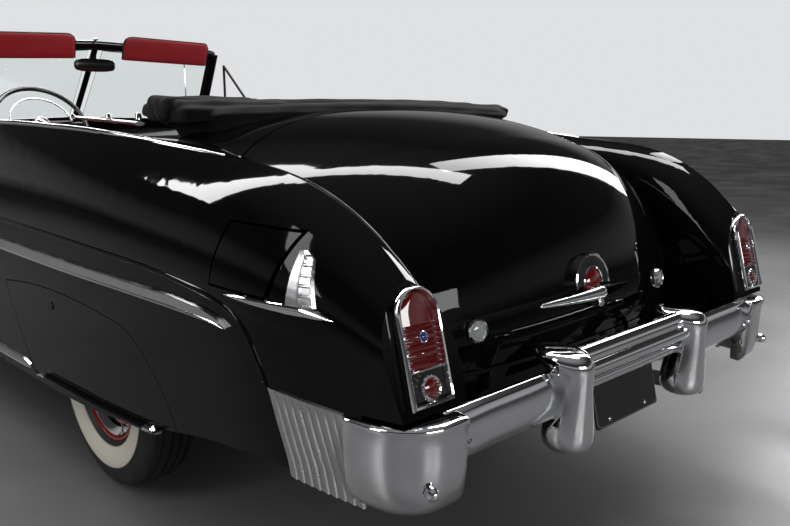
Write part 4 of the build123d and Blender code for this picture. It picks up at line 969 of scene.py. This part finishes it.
PLATE_TILT = radians(12)
SCREW_HALF_X, SCREW_HALF_Z = 0.0889, 0.0603
PLATE_HALF_X, PLATE_HALF_Z = 0.1495, 0.0735
SCREW = [(0.0, 0.0032), (0.003, 0.003), (0.0055, 0.002), (0.0065, 0.0005), (0.0065, -0.001)]


def plate_screws():
    """Four screws and a thin raised rim on the bare plate."""
    up = Vector((0, -sin(PLATE_TILT), cos(PLATE_TILT)))
    out = Vector((0, cos(PLATE_TILT), sin(PLATE_TILT)))
    middle = Vector((0.0, 2.604, 0.476)) + out * 0.004
    parts = [turned("screw", middle + Vector((u, 0, 0)) + up * v, out, SCREW, 16)
             for u in (-SCREW_HALF_X, SCREW_HALF_X) for v in (-SCREW_HALF_Z, SCREW_HALF_Z)]
    rim = []
    for across, above in circle(1.35, 48):
        u, v = PLATE_HALF_X * max(-1, min(1, across)), PLATE_HALF_Z * max(-1, min(1, above))
        corner = Vector((u, 0, 0)) + up * v
        rim.append([middle + corner * scale + out * height for scale, height in (
            (1.0, -0.0005), (1.0, 0.0016), (0.985, 0.0016), (0.985, -0.0005))])
    parts.append(rows_form("rim", rim, capped=False, round_again=True))
    dressed(joined("plate_screws", parts), "body", STAINLESS, 40)


# Wheels, as profiles of radius and distance outwards from the wheel's middle

INNER_WALL = [(0.1985, -0.066), (0.215, -0.079), (0.245, -0.090), (0.275, -0.0915), (0.305, -0.088),
              (0.328, -0.079), (0.339, -0.070)]
OUTER_WALL = [(0.339, 0.070), (0.328, 0.079), (0.305, 0.088), (0.281, 0.0912), (0.279, 0.092), (0.262, 0.092),
              (0.240, 0.0905), (0.216, 0.082), (0.2135, 0.0785), (0.1985, 0.066)]
TREAD_RADIUS, TREAD_FALL = 0.3515, 0.0115
TREAD_HALF = 0.070
GROOVES = (-0.045, -0.015, 0.015, 0.045)
GROOVE_HALF, GROOVE_DEPTH = 0.0031, 0.006
HUB_CAP = [(0.0, 0.0905), (0.012, 0.0905), (0.030, 0.090), (0.034, 0.092), (0.040, 0.0915), (0.044, 0.087),
           (0.070, 0.083), (0.074, 0.085), (0.080, 0.084), (0.102, 0.070), (0.116, 0.054), (0.120, 0.046),
           (0.122, 0.040)]
CAP_ENAMEL = [(0.0455, 0.0868), (0.0475, 0.0882), (0.0685, 0.0848), (0.070, 0.0830)]
TRIM_RING = [(0.150, 0.036), (0.155, 0.0415), (0.165, 0.050), (0.176, 0.059), (0.180, 0.0615), (0.178, 0.056),
             (0.165, 0.044)]


def tread():
    """Crowned tread with four grooves round it."""
    profile = []
    for step in range(-33, 34):
        u = step * 0.002
        deep = GROOVE_DEPTH if min(abs(u - groove) for groove in GROOVES) < GROOVE_HALF else 0.0
        profile.append((TREAD_RADIUS - TREAD_FALL * (abs(u) / TREAD_HALF) ** 2.6 - deep, u))
    return profile


def tyre_pieces():
    """Grooved tyres with a sidewall band, hub caps with their enamelled ring, and trim rings."""
    profile = INNER_WALL + tread() + OUTER_WALL
    for word, x, y, side in TYRES:
        hub, axle = (x, y, HUB_Z), (side, 0, 0)
        tyre = turned(f"grooved_tyre_{word}", hub, axle, profile, 96, ring=True)
        rubber = tyre_material(f"tyre_{word}_rubber", x, y, side)
        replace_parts(dressed(tyre, f"wheel_{word}", rubber, 30), f"tyre_{word}")
        parts = colored(CHROME, turned("cap", hub, axle, HUB_CAP, 72))
        parts += colored(WHEEL_RED, turned("cap_ring", hub, axle, CAP_ENAMEL, 72, ring=True))
        parts += colored(CHROME, turned("trim_ring", hub, axle, TRIM_RING, 72, ring=True))
        chromed(joined(f"hub_cap_{word}", parts), f"wheel_{word}", 35)


# Soft furnishings

BOLSTER = 0.06
PLEAT_DEPTH, PLEAT_FULLNESS = 0.010, 0.45
END_ROUND, END_SHRINK = 0.05, 0.22
# Side sections of the benches as y and z points
FRONT_CUSHION = [(-0.100, 0.475), (-0.085, 0.545), (0.02, 0.560), (0.35, 0.532), (0.36, 0.47)]
FRONT_BACK = [(0.335, 0.50), (0.345, 0.60), (0.435, 1.00), (0.47, 1.024), (0.52, 1.022), (0.548, 0.98),
              (0.500, 0.55)]
FRONT_BASE = [(-0.075, 0.35), (-0.098, 0.472), (0.49, 0.472), (0.425, 0.35)]
REAR_CUSHION = [(0.850, 0.60), (0.846, 0.665), (0.885, 0.695), (1.00, 0.695), (1.26, 0.668), (1.27, 0.60)]
REAR_BACK = [(1.245, 0.63), (1.27, 0.69), (1.345, 1.045), (1.37, 1.068), (1.42, 1.074), (1.465, 1.035),
             (1.455, 0.65)]
REAR_BASE = [(0.905, 0.548), (0.86, 0.598), (1.455, 0.598), (1.46, 0.548)]
# Benches: name, half width, sections, pleats, and the spans of the base in x
BENCHES = (
    ("front", 0.690, FRONT_CUSHION, FRONT_BACK, FRONT_BASE, 22, ((-0.68, -0.14), (0.14, 0.68))),
    ("rear", 0.610, REAR_CUSHION, REAR_BACK, REAR_BASE, 18, ((-0.60, 0.60),)),
)
BASE_EDGES = {"front": 0.012, "rear": 0.010}


def round_corners(points, radius=0.03, count=3):
    """Closed outline with each corner cut to a small arc."""
    outline = []
    total = len(points)
    for index in range(total):
        before, here, after = (Vector(points[(index + k) % total]) for k in (-1, 0, 1))
        start = here + (before - here).normalized() * min(radius, (before - here).length * 0.45)
        end = here + (after - here).normalized() * min(radius, (after - here).length * 0.45)
        for t in [k / count for k in range(count + 1)]:
            outline.append(start * (1 - t) ** 2 + here * 2 * t * (1 - t) + end * t ** 2)
    return [(0.0, point.x, point.y) for point in outline]


def pleated(name, outline, half, pleats):
    """Bench cushion: a side section carried across the car, drawn in at the sewn channels and at its ends."""
    section = [Vector(point) for point in round_corners(outline)]
    middle = sum(section, Vector()) / len(section)
    spreads = [point - middle for point in section]
    count = pleats * 6 + 12
    rows = []
    for index in range(count + 1):
        x = -half + 2 * half * index / count
        shrink = 1.0 - END_SHRINK * (max(0.0, abs(x) - (half - END_ROUND)) / END_ROUND) ** 2
        phase = (x + half - BOLSTER) / (2 * (half - BOLSTER)) * pleats
        full = abs(sin(pi * phase)) ** PLEAT_FULLNESS if abs(x) < half - BOLSTER else 1.0
        centre = middle + Vector((x, 0, 0))
        rows.append([centre + spread * shrink - spread.normalized() * PLEAT_DEPTH * (1 - full)
                     for spread in spreads])
    return rounded(rows_form(name, rows), levels=1)


def seats():
    """Two benches in pleated red leather, with plain bolsters at their ends."""
    for name, half, cushion, back, base, pleats, spans in BENCHES:
        for part, outline in (("cushion", cushion), ("backrest", back)):
            pad = pleated(f"{name}_{part}", outline, half, pleats)
            dressed(pad, "body", RED_LEATHER, 60)
        blocks = [extruded(f"{name}_seat_base", base, span) for span in spans]
        block = rounded(joined(f"{name}_seat_base", blocks), BASE_EDGES[name])
        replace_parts(dressed(block, "body", RED_LEATHER), f"{name}_seat")


HEADER_MIDDLE = Vector((0.0, -0.540, 1.566))
PILLAR_FOOT = (0.706, -0.772, 1.172)
PILLAR_TOP_X = 0.648
VISOR_START, VISOR_BACK, VISOR_DROP = 0.132, 0.030, 0.060
VISOR_LENGTH, VISOR_HEIGHT = 0.478, 0.125
VISOR_HALF_THICKNESS = 0.0085
VISOR_LEAN = radians(18)


def pillar_top(side):
    """Upper corner of the windscreen frame."""
    return mirrored((PILLAR_TOP_X, -0.478, 1.540), side)


def round_end(distance, reach):
    """Quarter-round rise from 0 at an end to 1 at some reach from it."""
    return (1 - (1 - min(1.0, distance / reach)) ** 2) ** 0.5


def sun_visors():
    """Padded red leather visors with black piping, tipped up against the header."""
    parts = []
    for side in (-1, 1):
        along = (pillar_top(side) - HEADER_MIDDLE).normalized()
        lean = Vector((0, sin(VISOR_LEAN), cos(VISOR_LEAN)))
        up = (lean - along * lean.dot(along)).normalized()
        rearward = up.cross(along) * side
        start = HEADER_MIDDLE + along * VISOR_START + rearward * VISOR_BACK - up * VISOR_DROP
        rows, edge = [], []
        for reach in [VISOR_LENGTH * k / 48 for k in range(49)]:
            inner, outer = round_end(reach, 0.050), round_end(max(0.0, VISOR_LENGTH - reach), 0.026)
            half = VISOR_HEIGHT * (0.70 + 0.30 * inner) * (0.80 + 0.20 * outer) / 2
            thick = VISOR_HALF_THICKNESS * (0.35 + 0.65 * min(inner, outer))
            base = start + along * reach
            section = soft_box(thick, half, 0.7, 0.45, 24)
            rows.append([base + up * (half + v) + rearward * u for u, v in section])
            edge.append(base + up * half * 2)
        pad = rounded(rows_form(f"sun_visor_{'left' if side > 0 else 'right'}", rows), levels=1)
        dressed(pad, "body", VISOR_LEATHER, 70)
        path = [start + up * 0.004] + edge + [start + along * VISOR_LENGTH + up * 0.004]
        parts.append(swept("piping", path, circle(0.0042, 10), up=rearward))
    piping = dressed(joined("sun_visor_piping", parts), "body", SATIN_BLACK, 60)
    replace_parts(piping, "sun_visors")


TOP_HALF = 0.69
# Rolls of the folded top: x from and to, middle y and z, half depth and half height, crease, seed, end rise
ROLLS = (
    (-0.66, 0.66, 1.535, 1.190, 0.140, 0.048, 0.010, 0.4, 0.0),
    (-0.675, 0.665, 1.425, 1.214, 0.062, 0.034, 0.011, 1.7, 0.0),
    (-0.68, 0.67, 1.515, 1.226, 0.070, 0.030, 0.012, 3.1, 0.0),
    (-0.67, 0.66, 1.605, 1.216, 0.070, 0.030, 0.010, 4.4, 0.0),
    (0.38, 0.735, 1.440, 1.226, 0.056, 0.036, 0.016, 2.2, 0.016),
    (0.42, 0.745, 1.515, 1.230, 0.054, 0.036, 0.017, 5.0, 0.016),
    (0.34, 0.730, 1.590, 1.222, 0.064, 0.034, 0.015, 0.9, 0.012),
    (-0.730, -0.44, 1.440, 1.222, 0.054, 0.032, 0.014, 3.6, 0.0),
    (-0.735, -0.40, 1.560, 1.220, 0.070, 0.034, 0.015, 1.2, 0.0),
)


def fold(x_from, x_to, centre_y, centre_z, half_y, half_z, wave, seed, rise):
    """One roll of the folded cloth: a flattened tube with creases along it, gathered towards its ends."""
    rows = []
    for share in [k / 60 for k in range(61)]:
        x = x_from + (x_to - x_from) * share
        size = 0.55 + 0.45 * round_end(min(share, 1 - share), 0.06)
        outward = (abs(x) / TOP_HALF) ** 2
        drop = 0.016 * outward - rise * max(0.0, (x - 0.36) / 0.33)
        drift = 0.008 * sin(5.3 * x + seed) + 0.004 * sin(13.0 * x + 2 * seed)
        ring = []
        for turn in [2 * pi * n / 36 for n in range(36)]:
            crease = wave * (0.5 * sin(3 * turn + seed + 2.4 * x) + 0.28 * sin(7 * turn - 3 * x + 2 * seed)
                             + 0.25 * sin(34 * x + 4 * turn + seed) * (0.35 + 0.65 * outward))
            ring.append((x, centre_y + drift + (half_y + crease) * size * cos(turn),
                         centre_z - drop + (half_z + 0.6 * crease) * size * sin(turn)))
        rows.append(ring)
    return rounded(rows_form("roll", rows), levels=1)


def folded_top():
    """Black cloth top folded into its well: stacked rolls, with bunches at both ends."""
    piece = joined("folded_cloth_top", [fold(*roll) for roll in ROLLS])
    dressed(piece, "body", TOP_CLOTH, 70)
    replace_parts(piece, "folded_top")


# Door and side panels

DOOR_RAILS = (0.57, 0.94)
CRANK_HUB = [(0.0, 0.016), (0.012, 0.014), (0.016, 0.008), (0.018, 0.0)]
PULL_FOOT = [(0.0, 0.022), (0.008, 0.021), (0.009, 0.010), (0.016, 0.003), (0.018, -0.002)]
PULL_Z = 1.095
PULL_FEET_Y = (0.262, 0.418)
INNER_PULL = ((0.792, 0.10, 1.0), (0.770, 0.12, 1.005), (0.768, 0.26, 1.005), (0.792, 0.28, 1.0))
CRANK = ((0.784, -0.20, 0.78), (0.782, -0.16, 0.76), (0.780, -0.11, 0.745))


def pleated_panel(name, side, face, back, start, length, steps, heights, band, least):
    """Upholstered panel from start along y: plain leather with a pleated band between two heights."""
    rows = []
    for k in range(steps + 1):
        y = start + length * k / steps
        pleat = least + 0.006 * abs(sin(pi * k / 4)) ** 0.5
        row = [(side * (face - (pleat if band[0] < z < band[1] else 0.010)), y, z) for z in heights]
        rows.append(row + [(side * back, y, heights[-1]), (side * back, y, heights[0])])
    return rows_form(name, rows)


def door_panel(side, word):
    """Leather panel inside a door, pleated between its two rails."""
    panel = pleated_panel(f"door_panel_{word}", side, 0.8055, 0.8075, -0.66, 1.10, 72, (
        0.42, 0.50, 0.56, 0.58, 0.70, 0.85, 0.93, 0.95, 1.05, 1.12), DOOR_RAILS, 0.005)
    dressed(panel, f"door_{word}", RED_LEATHER)


def rear_side_panel(side, word):
    """Leather panel beside the rear bench."""
    panel = pleated_panel(f"rear_side_panel_{word}", side, 0.7875, 0.7885, 0.51, 0.94, 60, (
        0.765, 0.80, 0.82, 0.90, 0.98, 1.03, 1.05, 1.10), (0.81, 1.04), 0.004)
    dressed(panel, "body", RED_LEATHER)


def door_hardware(side, word):
    """Two rails, a pull and a window crank inside a door."""
    parts = [swept("rail", [(side * 0.795, -0.64 + 1.06 * k / 8, z) for k in range(9)], circle(0.005, 8))
             for z in DOOR_RAILS]
    parts.append(swept("pull", [mirrored(point, side) for point in INNER_PULL], circle(0.009, 10)))
    parts.append(turned("crank_hub", (side * 0.795, -0.20, 0.78), (-side, 0, 0), CRANK_HUB, 24))
    parts.append(swept("crank", [mirrored(point, side) for point in CRANK], circle(0.006, 8)))
    chromed(joined(f"door_hardware_{word}", parts), f"door_{word}")


def door_pull(side, word):
    """Bow handle on two feet, outside a door."""
    near, far = (on_side(side, y, PULL_Z)[0] for y in PULL_FEET_Y)
    bow = [spot + Vector((side * out, shift, rise)) for spot, out, shift, rise in (
        (near, 0.022, -0.012, 0), (near, 0.025, 0.02, 0.002), ((near + far) / 2, 0.026, 0, 0.003),
        (far, 0.025, -0.02, 0.002), (far, 0.022, 0.012, 0))]
    parts = [swept("pull", bow, ellipse(0.007, 0.010, 12))]
    parts += [turned("foot", spot, (side, 0, 0), PULL_FOOT, 20) for spot in (near, far)]
    chromed(joined(f"door_pull_{word}", parts), f"door_{word}")


# Steering wheel and dashboard

STEERING_AXIS = Vector((0, 0.78801, 0.61566))
STEERING_CENTRE = Vector((0.375, -0.365, 1.172))
HORN_RADIUS = 0.145
HORN_BUTTON = [(0.0, 0.022), (0.014, 0.021), (0.026, 0.016), (0.034, 0.008), (0.037, 0.0)]
GAUGES = ((0.375, 0.075), (0.24, 0.036), (0.51, 0.036), (-0.10, 0.040), (0.0, 0.030))
KNOB_PLACES = (-0.22, -0.28, -0.34, 0.14, 0.62)
KNOB = [(0.0, 0.030), (0.008, 0.029), (0.012, 0.024), (0.007, 0.012), (0.010, 0.0)]


def horn_ring():
    """Half ring for the horn, its two spokes and the button in the middle of the steering wheel."""
    across = Vector((1, 0, 0))
    upward = across.cross(STEERING_AXIS)
    middle = STEERING_CENTRE + STEERING_AXIS * 0.008
    angles = [pi * (0.02 + 0.96 * k / 40) for k in range(41)]
    half_ring = [middle + (upward * sin(angle) - across * cos(angle)) * HORN_RADIUS for angle in angles]
    parts = [swept("horn_ring", half_ring, circle(0.0045, 10), up=STEERING_AXIS),
             turned("horn_button", STEERING_CENTRE, STEERING_AXIS, HORN_BUTTON, 36)]
    for side in (-1, 1):
        spoke = [middle + across * side * 0.03, middle + across * side * 0.147]
        parts.append(swept("horn_spoke", spoke, circle(0.005, 8), up=STEERING_AXIS))
    chromed(joined("horn_ring", parts), "steering_wheel")


def dash_bright_work():
    """Rings of the gauges, a row of knobs and a bright strip along the dashboard."""
    parts = []
    for x, radius in GAUGES:
        rim = [(radius, -0.006), (radius + 0.004, 0.008), (radius, 0.012), (radius - 0.005, 0.008),
               (radius - 0.006, -0.002)]
        parts.append(turned("gauge_ring", (x, -0.573, 1.060), (0, 1, 0.36), rim, ring=True))
    parts += [turned("knob", (x, -0.575, 1.020), (0, 1, 0.2), KNOB, 20) for x in KNOB_PLACES]
    strip = [(-0.72 + 1.44 * k / 12, -0.5655, 1.050) for k in range(13)]
    parts.append(swept("dash_strip", strip, circle(0.005, 8)))
    chromed(joined("dash_bright_work", parts))


# Windscreen frame, mirror and the rails of the top

# Sections of the mirror: y and size
MIRROR = ((-0.584, 0.90), (-0.582, 0.97), (-0.576, 1.0), (-0.568, 1.0), (-0.5635, 0.97), (-0.562, 0.92))
TOP_ARM = ((0.742, 0.90, 1.205), (0.760, 1.20, 1.196), (0.764, 1.44, 1.186))
STUD = [(0.0, 0.012), (0.006, 0.011), (0.009, 0.006), (0.010, -0.008)]
STUD_X, STUD_Z, STUD_FALL = 0.757, 1.206, 0.0001
STUD_PLACES = (0.94, 1.22, 1.42)
LATCH_BOSS = [(0.0, 0.020), (0.008, 0.019), (0.012, 0.012), (0.009, 0.004), (0.016, 0.0), (0.018, -0.01)]


def mirror_casing():
    """Back and rim of the mirror under the header."""
    rows = [[(x, y, 1.467 + z) for x, z in soft_box(0.110 * size, 0.034 * size, 0.6, 0.6, 40)]
            for y, size in MIRROR]
    dressed(rows_form("mirror_casing", rows), "body", BAKELITE, 50)


def pillar_cover(side, word):
    """Painted cover of a windscreen pillar."""
    foot = mirrored(PILLAR_FOOT, side)
    rows = []
    for share in [k / 12 for k in range(13)]:
        middle = foot.lerp(pillar_top(side), share) + Vector((0, 0.024 - 0.006 * share, -0.004))
        rows.append([middle + Vector((u, v, 0)) for u, v in ellipse(0.019, 0.052 - 0.010 * share, 20)])
    cover = rounded(rows_form(f"pillar_cover_{word}", rows), 0.004)
    dressed(cover, "body", BODY_PAINT, 60)


def top_rail(side, word):
    """Arm of the folded top along its well, with the studs that hold the top's cover."""
    parts = [swept("arm", [mirrored(point, side) for point in TOP_ARM], ellipse(0.016, 0.006, 12))]
    parts += [turned("stud", (side * STUD_X, y, STUD_Z - STUD_FALL * y), (0, 0, 1), STUD, 18)
              for y in STUD_PLACES]
    dressed(joined(f"top_rail_{word}", parts), "body", STAINLESS)


def header_cover():
    """Painted cover of the header between the pillars."""
    path = []
    for x in (-PILLAR_TOP_X, -0.43, -0.21, 0.0, 0.21, 0.43, PILLAR_TOP_X):
        outwards = abs(x) / PILLAR_TOP_X
        path.append(HEADER_MIDDLE + Vector((x, 0.062 * outwards, -0.026 * outwards)))
    cover = rounded(swept("header_cover", path, ellipse(0.028, 0.024, 20)), 0.003)
    dressed(cover, "body", BODY_PAINT, 60)


def header_latch():
    """Boss and lever in the middle of the header."""
    lever = [(0.0, -0.535, 1.598), (0.012, -0.505, 1.600), (0.020, -0.480, 1.594)]
    parts = [turned("latch_boss", (0.0, -0.540, 1.586), (0, 0.1, 1), LATCH_BOSS, 24),
             swept("latch_lever", lever, circle(0.0045, 8))]
    chromed(joined("header_latch", parts))


# Pedals and aerial

PEDAL_PLACES = ((0.30, 0.50), (0.42, 0.50))
AERIAL_X, AERIAL_Y = -0.765, -1.000
AERIAL_BASE = [(0.0, 0.03), (0.006, 0.028), (0.010, 0.012), (0.018, 0.004), (0.020, -0.004)]


def pedals():
    """Two pedals on bent arms."""
    corners = ((-0.03, -0.03), (0.03, -0.03), (0.03, 0.03), (-0.03, 0.03))
    parts = []
    for x, z in PEDAL_PLACES:
        pad = rows_form("pad", [[(x + u * size, y, z + v * size) for u, v in corners]
                                for y, size in ((-0.60, 0.9), (-0.588, 1.0), (-0.580, 0.92))])
        parts.append(rounded(pad, 0.004))
        arm = [(x, -0.60, z), (x, -0.66, z + 0.03), (x, -0.74, z + 0.02)]
        parts.append(swept("arm", arm, circle(0.007, 8)))
    dressed(joined("pedals", parts), "body", SATIN_BLACK)


def aerial():
    """Aerial on the right front wing."""
    foot = on_top(AERIAL_X, AERIAL_Y)[0]
    rod = [foot + Vector((0, 0, 0.01 + 0.07 * k)) for k in range(7)]
    parts = [turned("aerial_base", foot, (0, 0, 1), AERIAL_BASE, 24),
             swept("aerial_rod", rod, circle(0.003, 8), up=(0, 1, 0))]
    chromed(joined("aerial", parts))


def cabin():
    """Fittings of the doors, the dashboard and the windscreen, with what stands beside them."""
    for side, word in SIDES:
        door_panel(side, word)
        door_hardware(side, word)
    horn_ring()
    dash_bright_work()
    mirror_casing()
    for side, word in SIDES:
        pillar_cover(side, word)
        top_rail(side, word)
    header_cover()
    header_latch()
    pedals()
    aerial()
    for side, word in SIDES:
        rear_side_panel(side, word)
        door_pull(side, word)


side_trim()
belt_moulding()
fin_ornament()
gravel_shields()
rear_bumper()
front_bumper()
tail_lamps()
lid_trim()
plate_screws()
tyre_pieces()
seats()
sun_visors()
folded_top()
cabin()


# Studio: plain floor, soft lights, and the camera at the left rear corner

def grey(value):
    """Slightly cool grey of the studio's walls."""
    return value, value, 1.03 * value


# Glow of the surroundings against the height of a direction, from level to straight up
SURROUNDINGS = [(0.0, (0.10, 0.10, 0.105)), (0.02, grey(0.20)), (0.10, grey(0.74)), (0.22, grey(0.60)),
                (0.34, grey(0.09)), (0.62, grey(0.05)), (1.0, (0.55, 0.56, 0.58))]
# Lamps: name, place, aim, size and watts
LAMPS = (
    ("overhead_box", (0.3, -0.6, 5.0), (0.1, -0.4, 0.8), (0.8, 9.0), 420.0),
    ("right_strip", (-4.2, 1.5, 3.6), (0.0, 1.2, 0.9), (0.9, 5.0), 150.0),
    ("left_box", (5.4, 0.8, 4.4), (0.0, 0.8, 0.8), (1.2, 5.0), 130.0),
    ("rear_box", (0.5, 8.0, 2.2), (0.0, 1.6, 0.6), (3.2, 1.2), 120.0),
    ("front_box", (-2.5, -6.5, 3.4), (0.0, -1.0, 0.8), (4.0, 2.0), 160.0),
)


def studio_floor():
    """Plain floor under the car."""
    bpy.ops.mesh.primitive_plane_add(size=60.0, location=(0, 0, 0))
    floor = bpy.context.object
    floor.name = "studio_floor"
    material, tree, shader, spot = new_material("floor_grey", (0.14, 0.14, 0.142))
    smear(tree, shader, spot, 1.5, 0.35, 0.55)
    floor.data.materials.append(material)


def studio_world():
    """Glow that the car reflects, and a pale backdrop where the camera or the glass looks past it."""
    world = bpy.data.worlds.new("studio_world")
    bpy.context.scene.world = world
    world.use_nodes = True
    tree = world.node_tree
    direction = tree.nodes.new("ShaderNodeTexCoord").outputs["Generated"]
    height = added(tree, "ShaderNodeSeparateXYZ", {"Vector": direction}).outputs["Z"]
    glow = feed(tree, tree.nodes["Background"], {"Strength": 0.42, "Color": ramp(tree, height, SURROUNDINGS)})
    seen = added(tree, "ShaderNodeBackground", {"Color": (0.74, 0.75, 0.765, 1.0), "Strength": 1.0})
    rays = tree.nodes.new("ShaderNodeLightPath").outputs
    either = computed(tree, "MAXIMUM", rays["Is Camera Ray"], rays["Is Transmission Ray"])
    blend = added(tree, "ShaderNodeMixShader", {
        "Fac": either, 1: glow.outputs["Background"], 2: seen.outputs["Background"]})
    feed(tree, tree.nodes["World Output"], {"Surface": blend.outputs["Shader"]})


def studio_lamps():
    """Large soft lamps."""
    for name, spot, aim, size, power in LAMPS:
        bpy.ops.object.light_add(type="AREA", location=spot)
        lamp = bpy.context.object
        lamp.name = name
        lamp.data.shape = "RECTANGLE"
        lamp.data.size, lamp.data.size_y = size
        lamp.data.energy = power
        lamp.rotation_euler = (Vector(aim) - Vector(spot)).to_track_quat("-Z", "Y").to_euler()


CAMERA_PLACE = Vector((1.871, 3.681, 1.217))
CAMERA_AZIMUTH = radians(136.43)
CAMERA_ELEVATION = radians(10.72)
CAMERA_ROLL = radians(-0.51)
FOCAL_PIXELS = 804.4
PHOTO_WIDTH = 790
SENSOR_WIDTH = 36.0


def camera():
    """Camera where the photograph was taken from."""
    level = cos(CAMERA_ELEVATION)
    back = Vector((sin(CAMERA_AZIMUTH) * level, -cos(CAMERA_AZIMUTH) * level, sin(CAMERA_ELEVATION)))
    right = Vector((cos(CAMERA_AZIMUTH), sin(CAMERA_AZIMUTH), 0.0))
    up = back.cross(right)
    across = right * cos(CAMERA_ROLL) + up * sin(CAMERA_ROLL)
    upward = up * cos(CAMERA_ROLL) - right * sin(CAMERA_ROLL)
    bpy.ops.object.camera_add(location=CAMERA_PLACE)
    taken = bpy.context.object
    facing = Matrix((across, upward, back)).transposed().to_4x4()
    taken.matrix_world = Matrix.Translation(CAMERA_PLACE) @ facing
    taken.data.sensor_width = SENSOR_WIDTH
    taken.data.lens = FOCAL_PIXELS * SENSOR_WIDTH / PHOTO_WIDTH
    taken.data.clip_end = 200.0
    bpy.context.scene.camera = taken


studio_floor()
studio_world()
studio_lamps()
camera()
bpy.context.scene.view_settings.view_transform = "Standard"
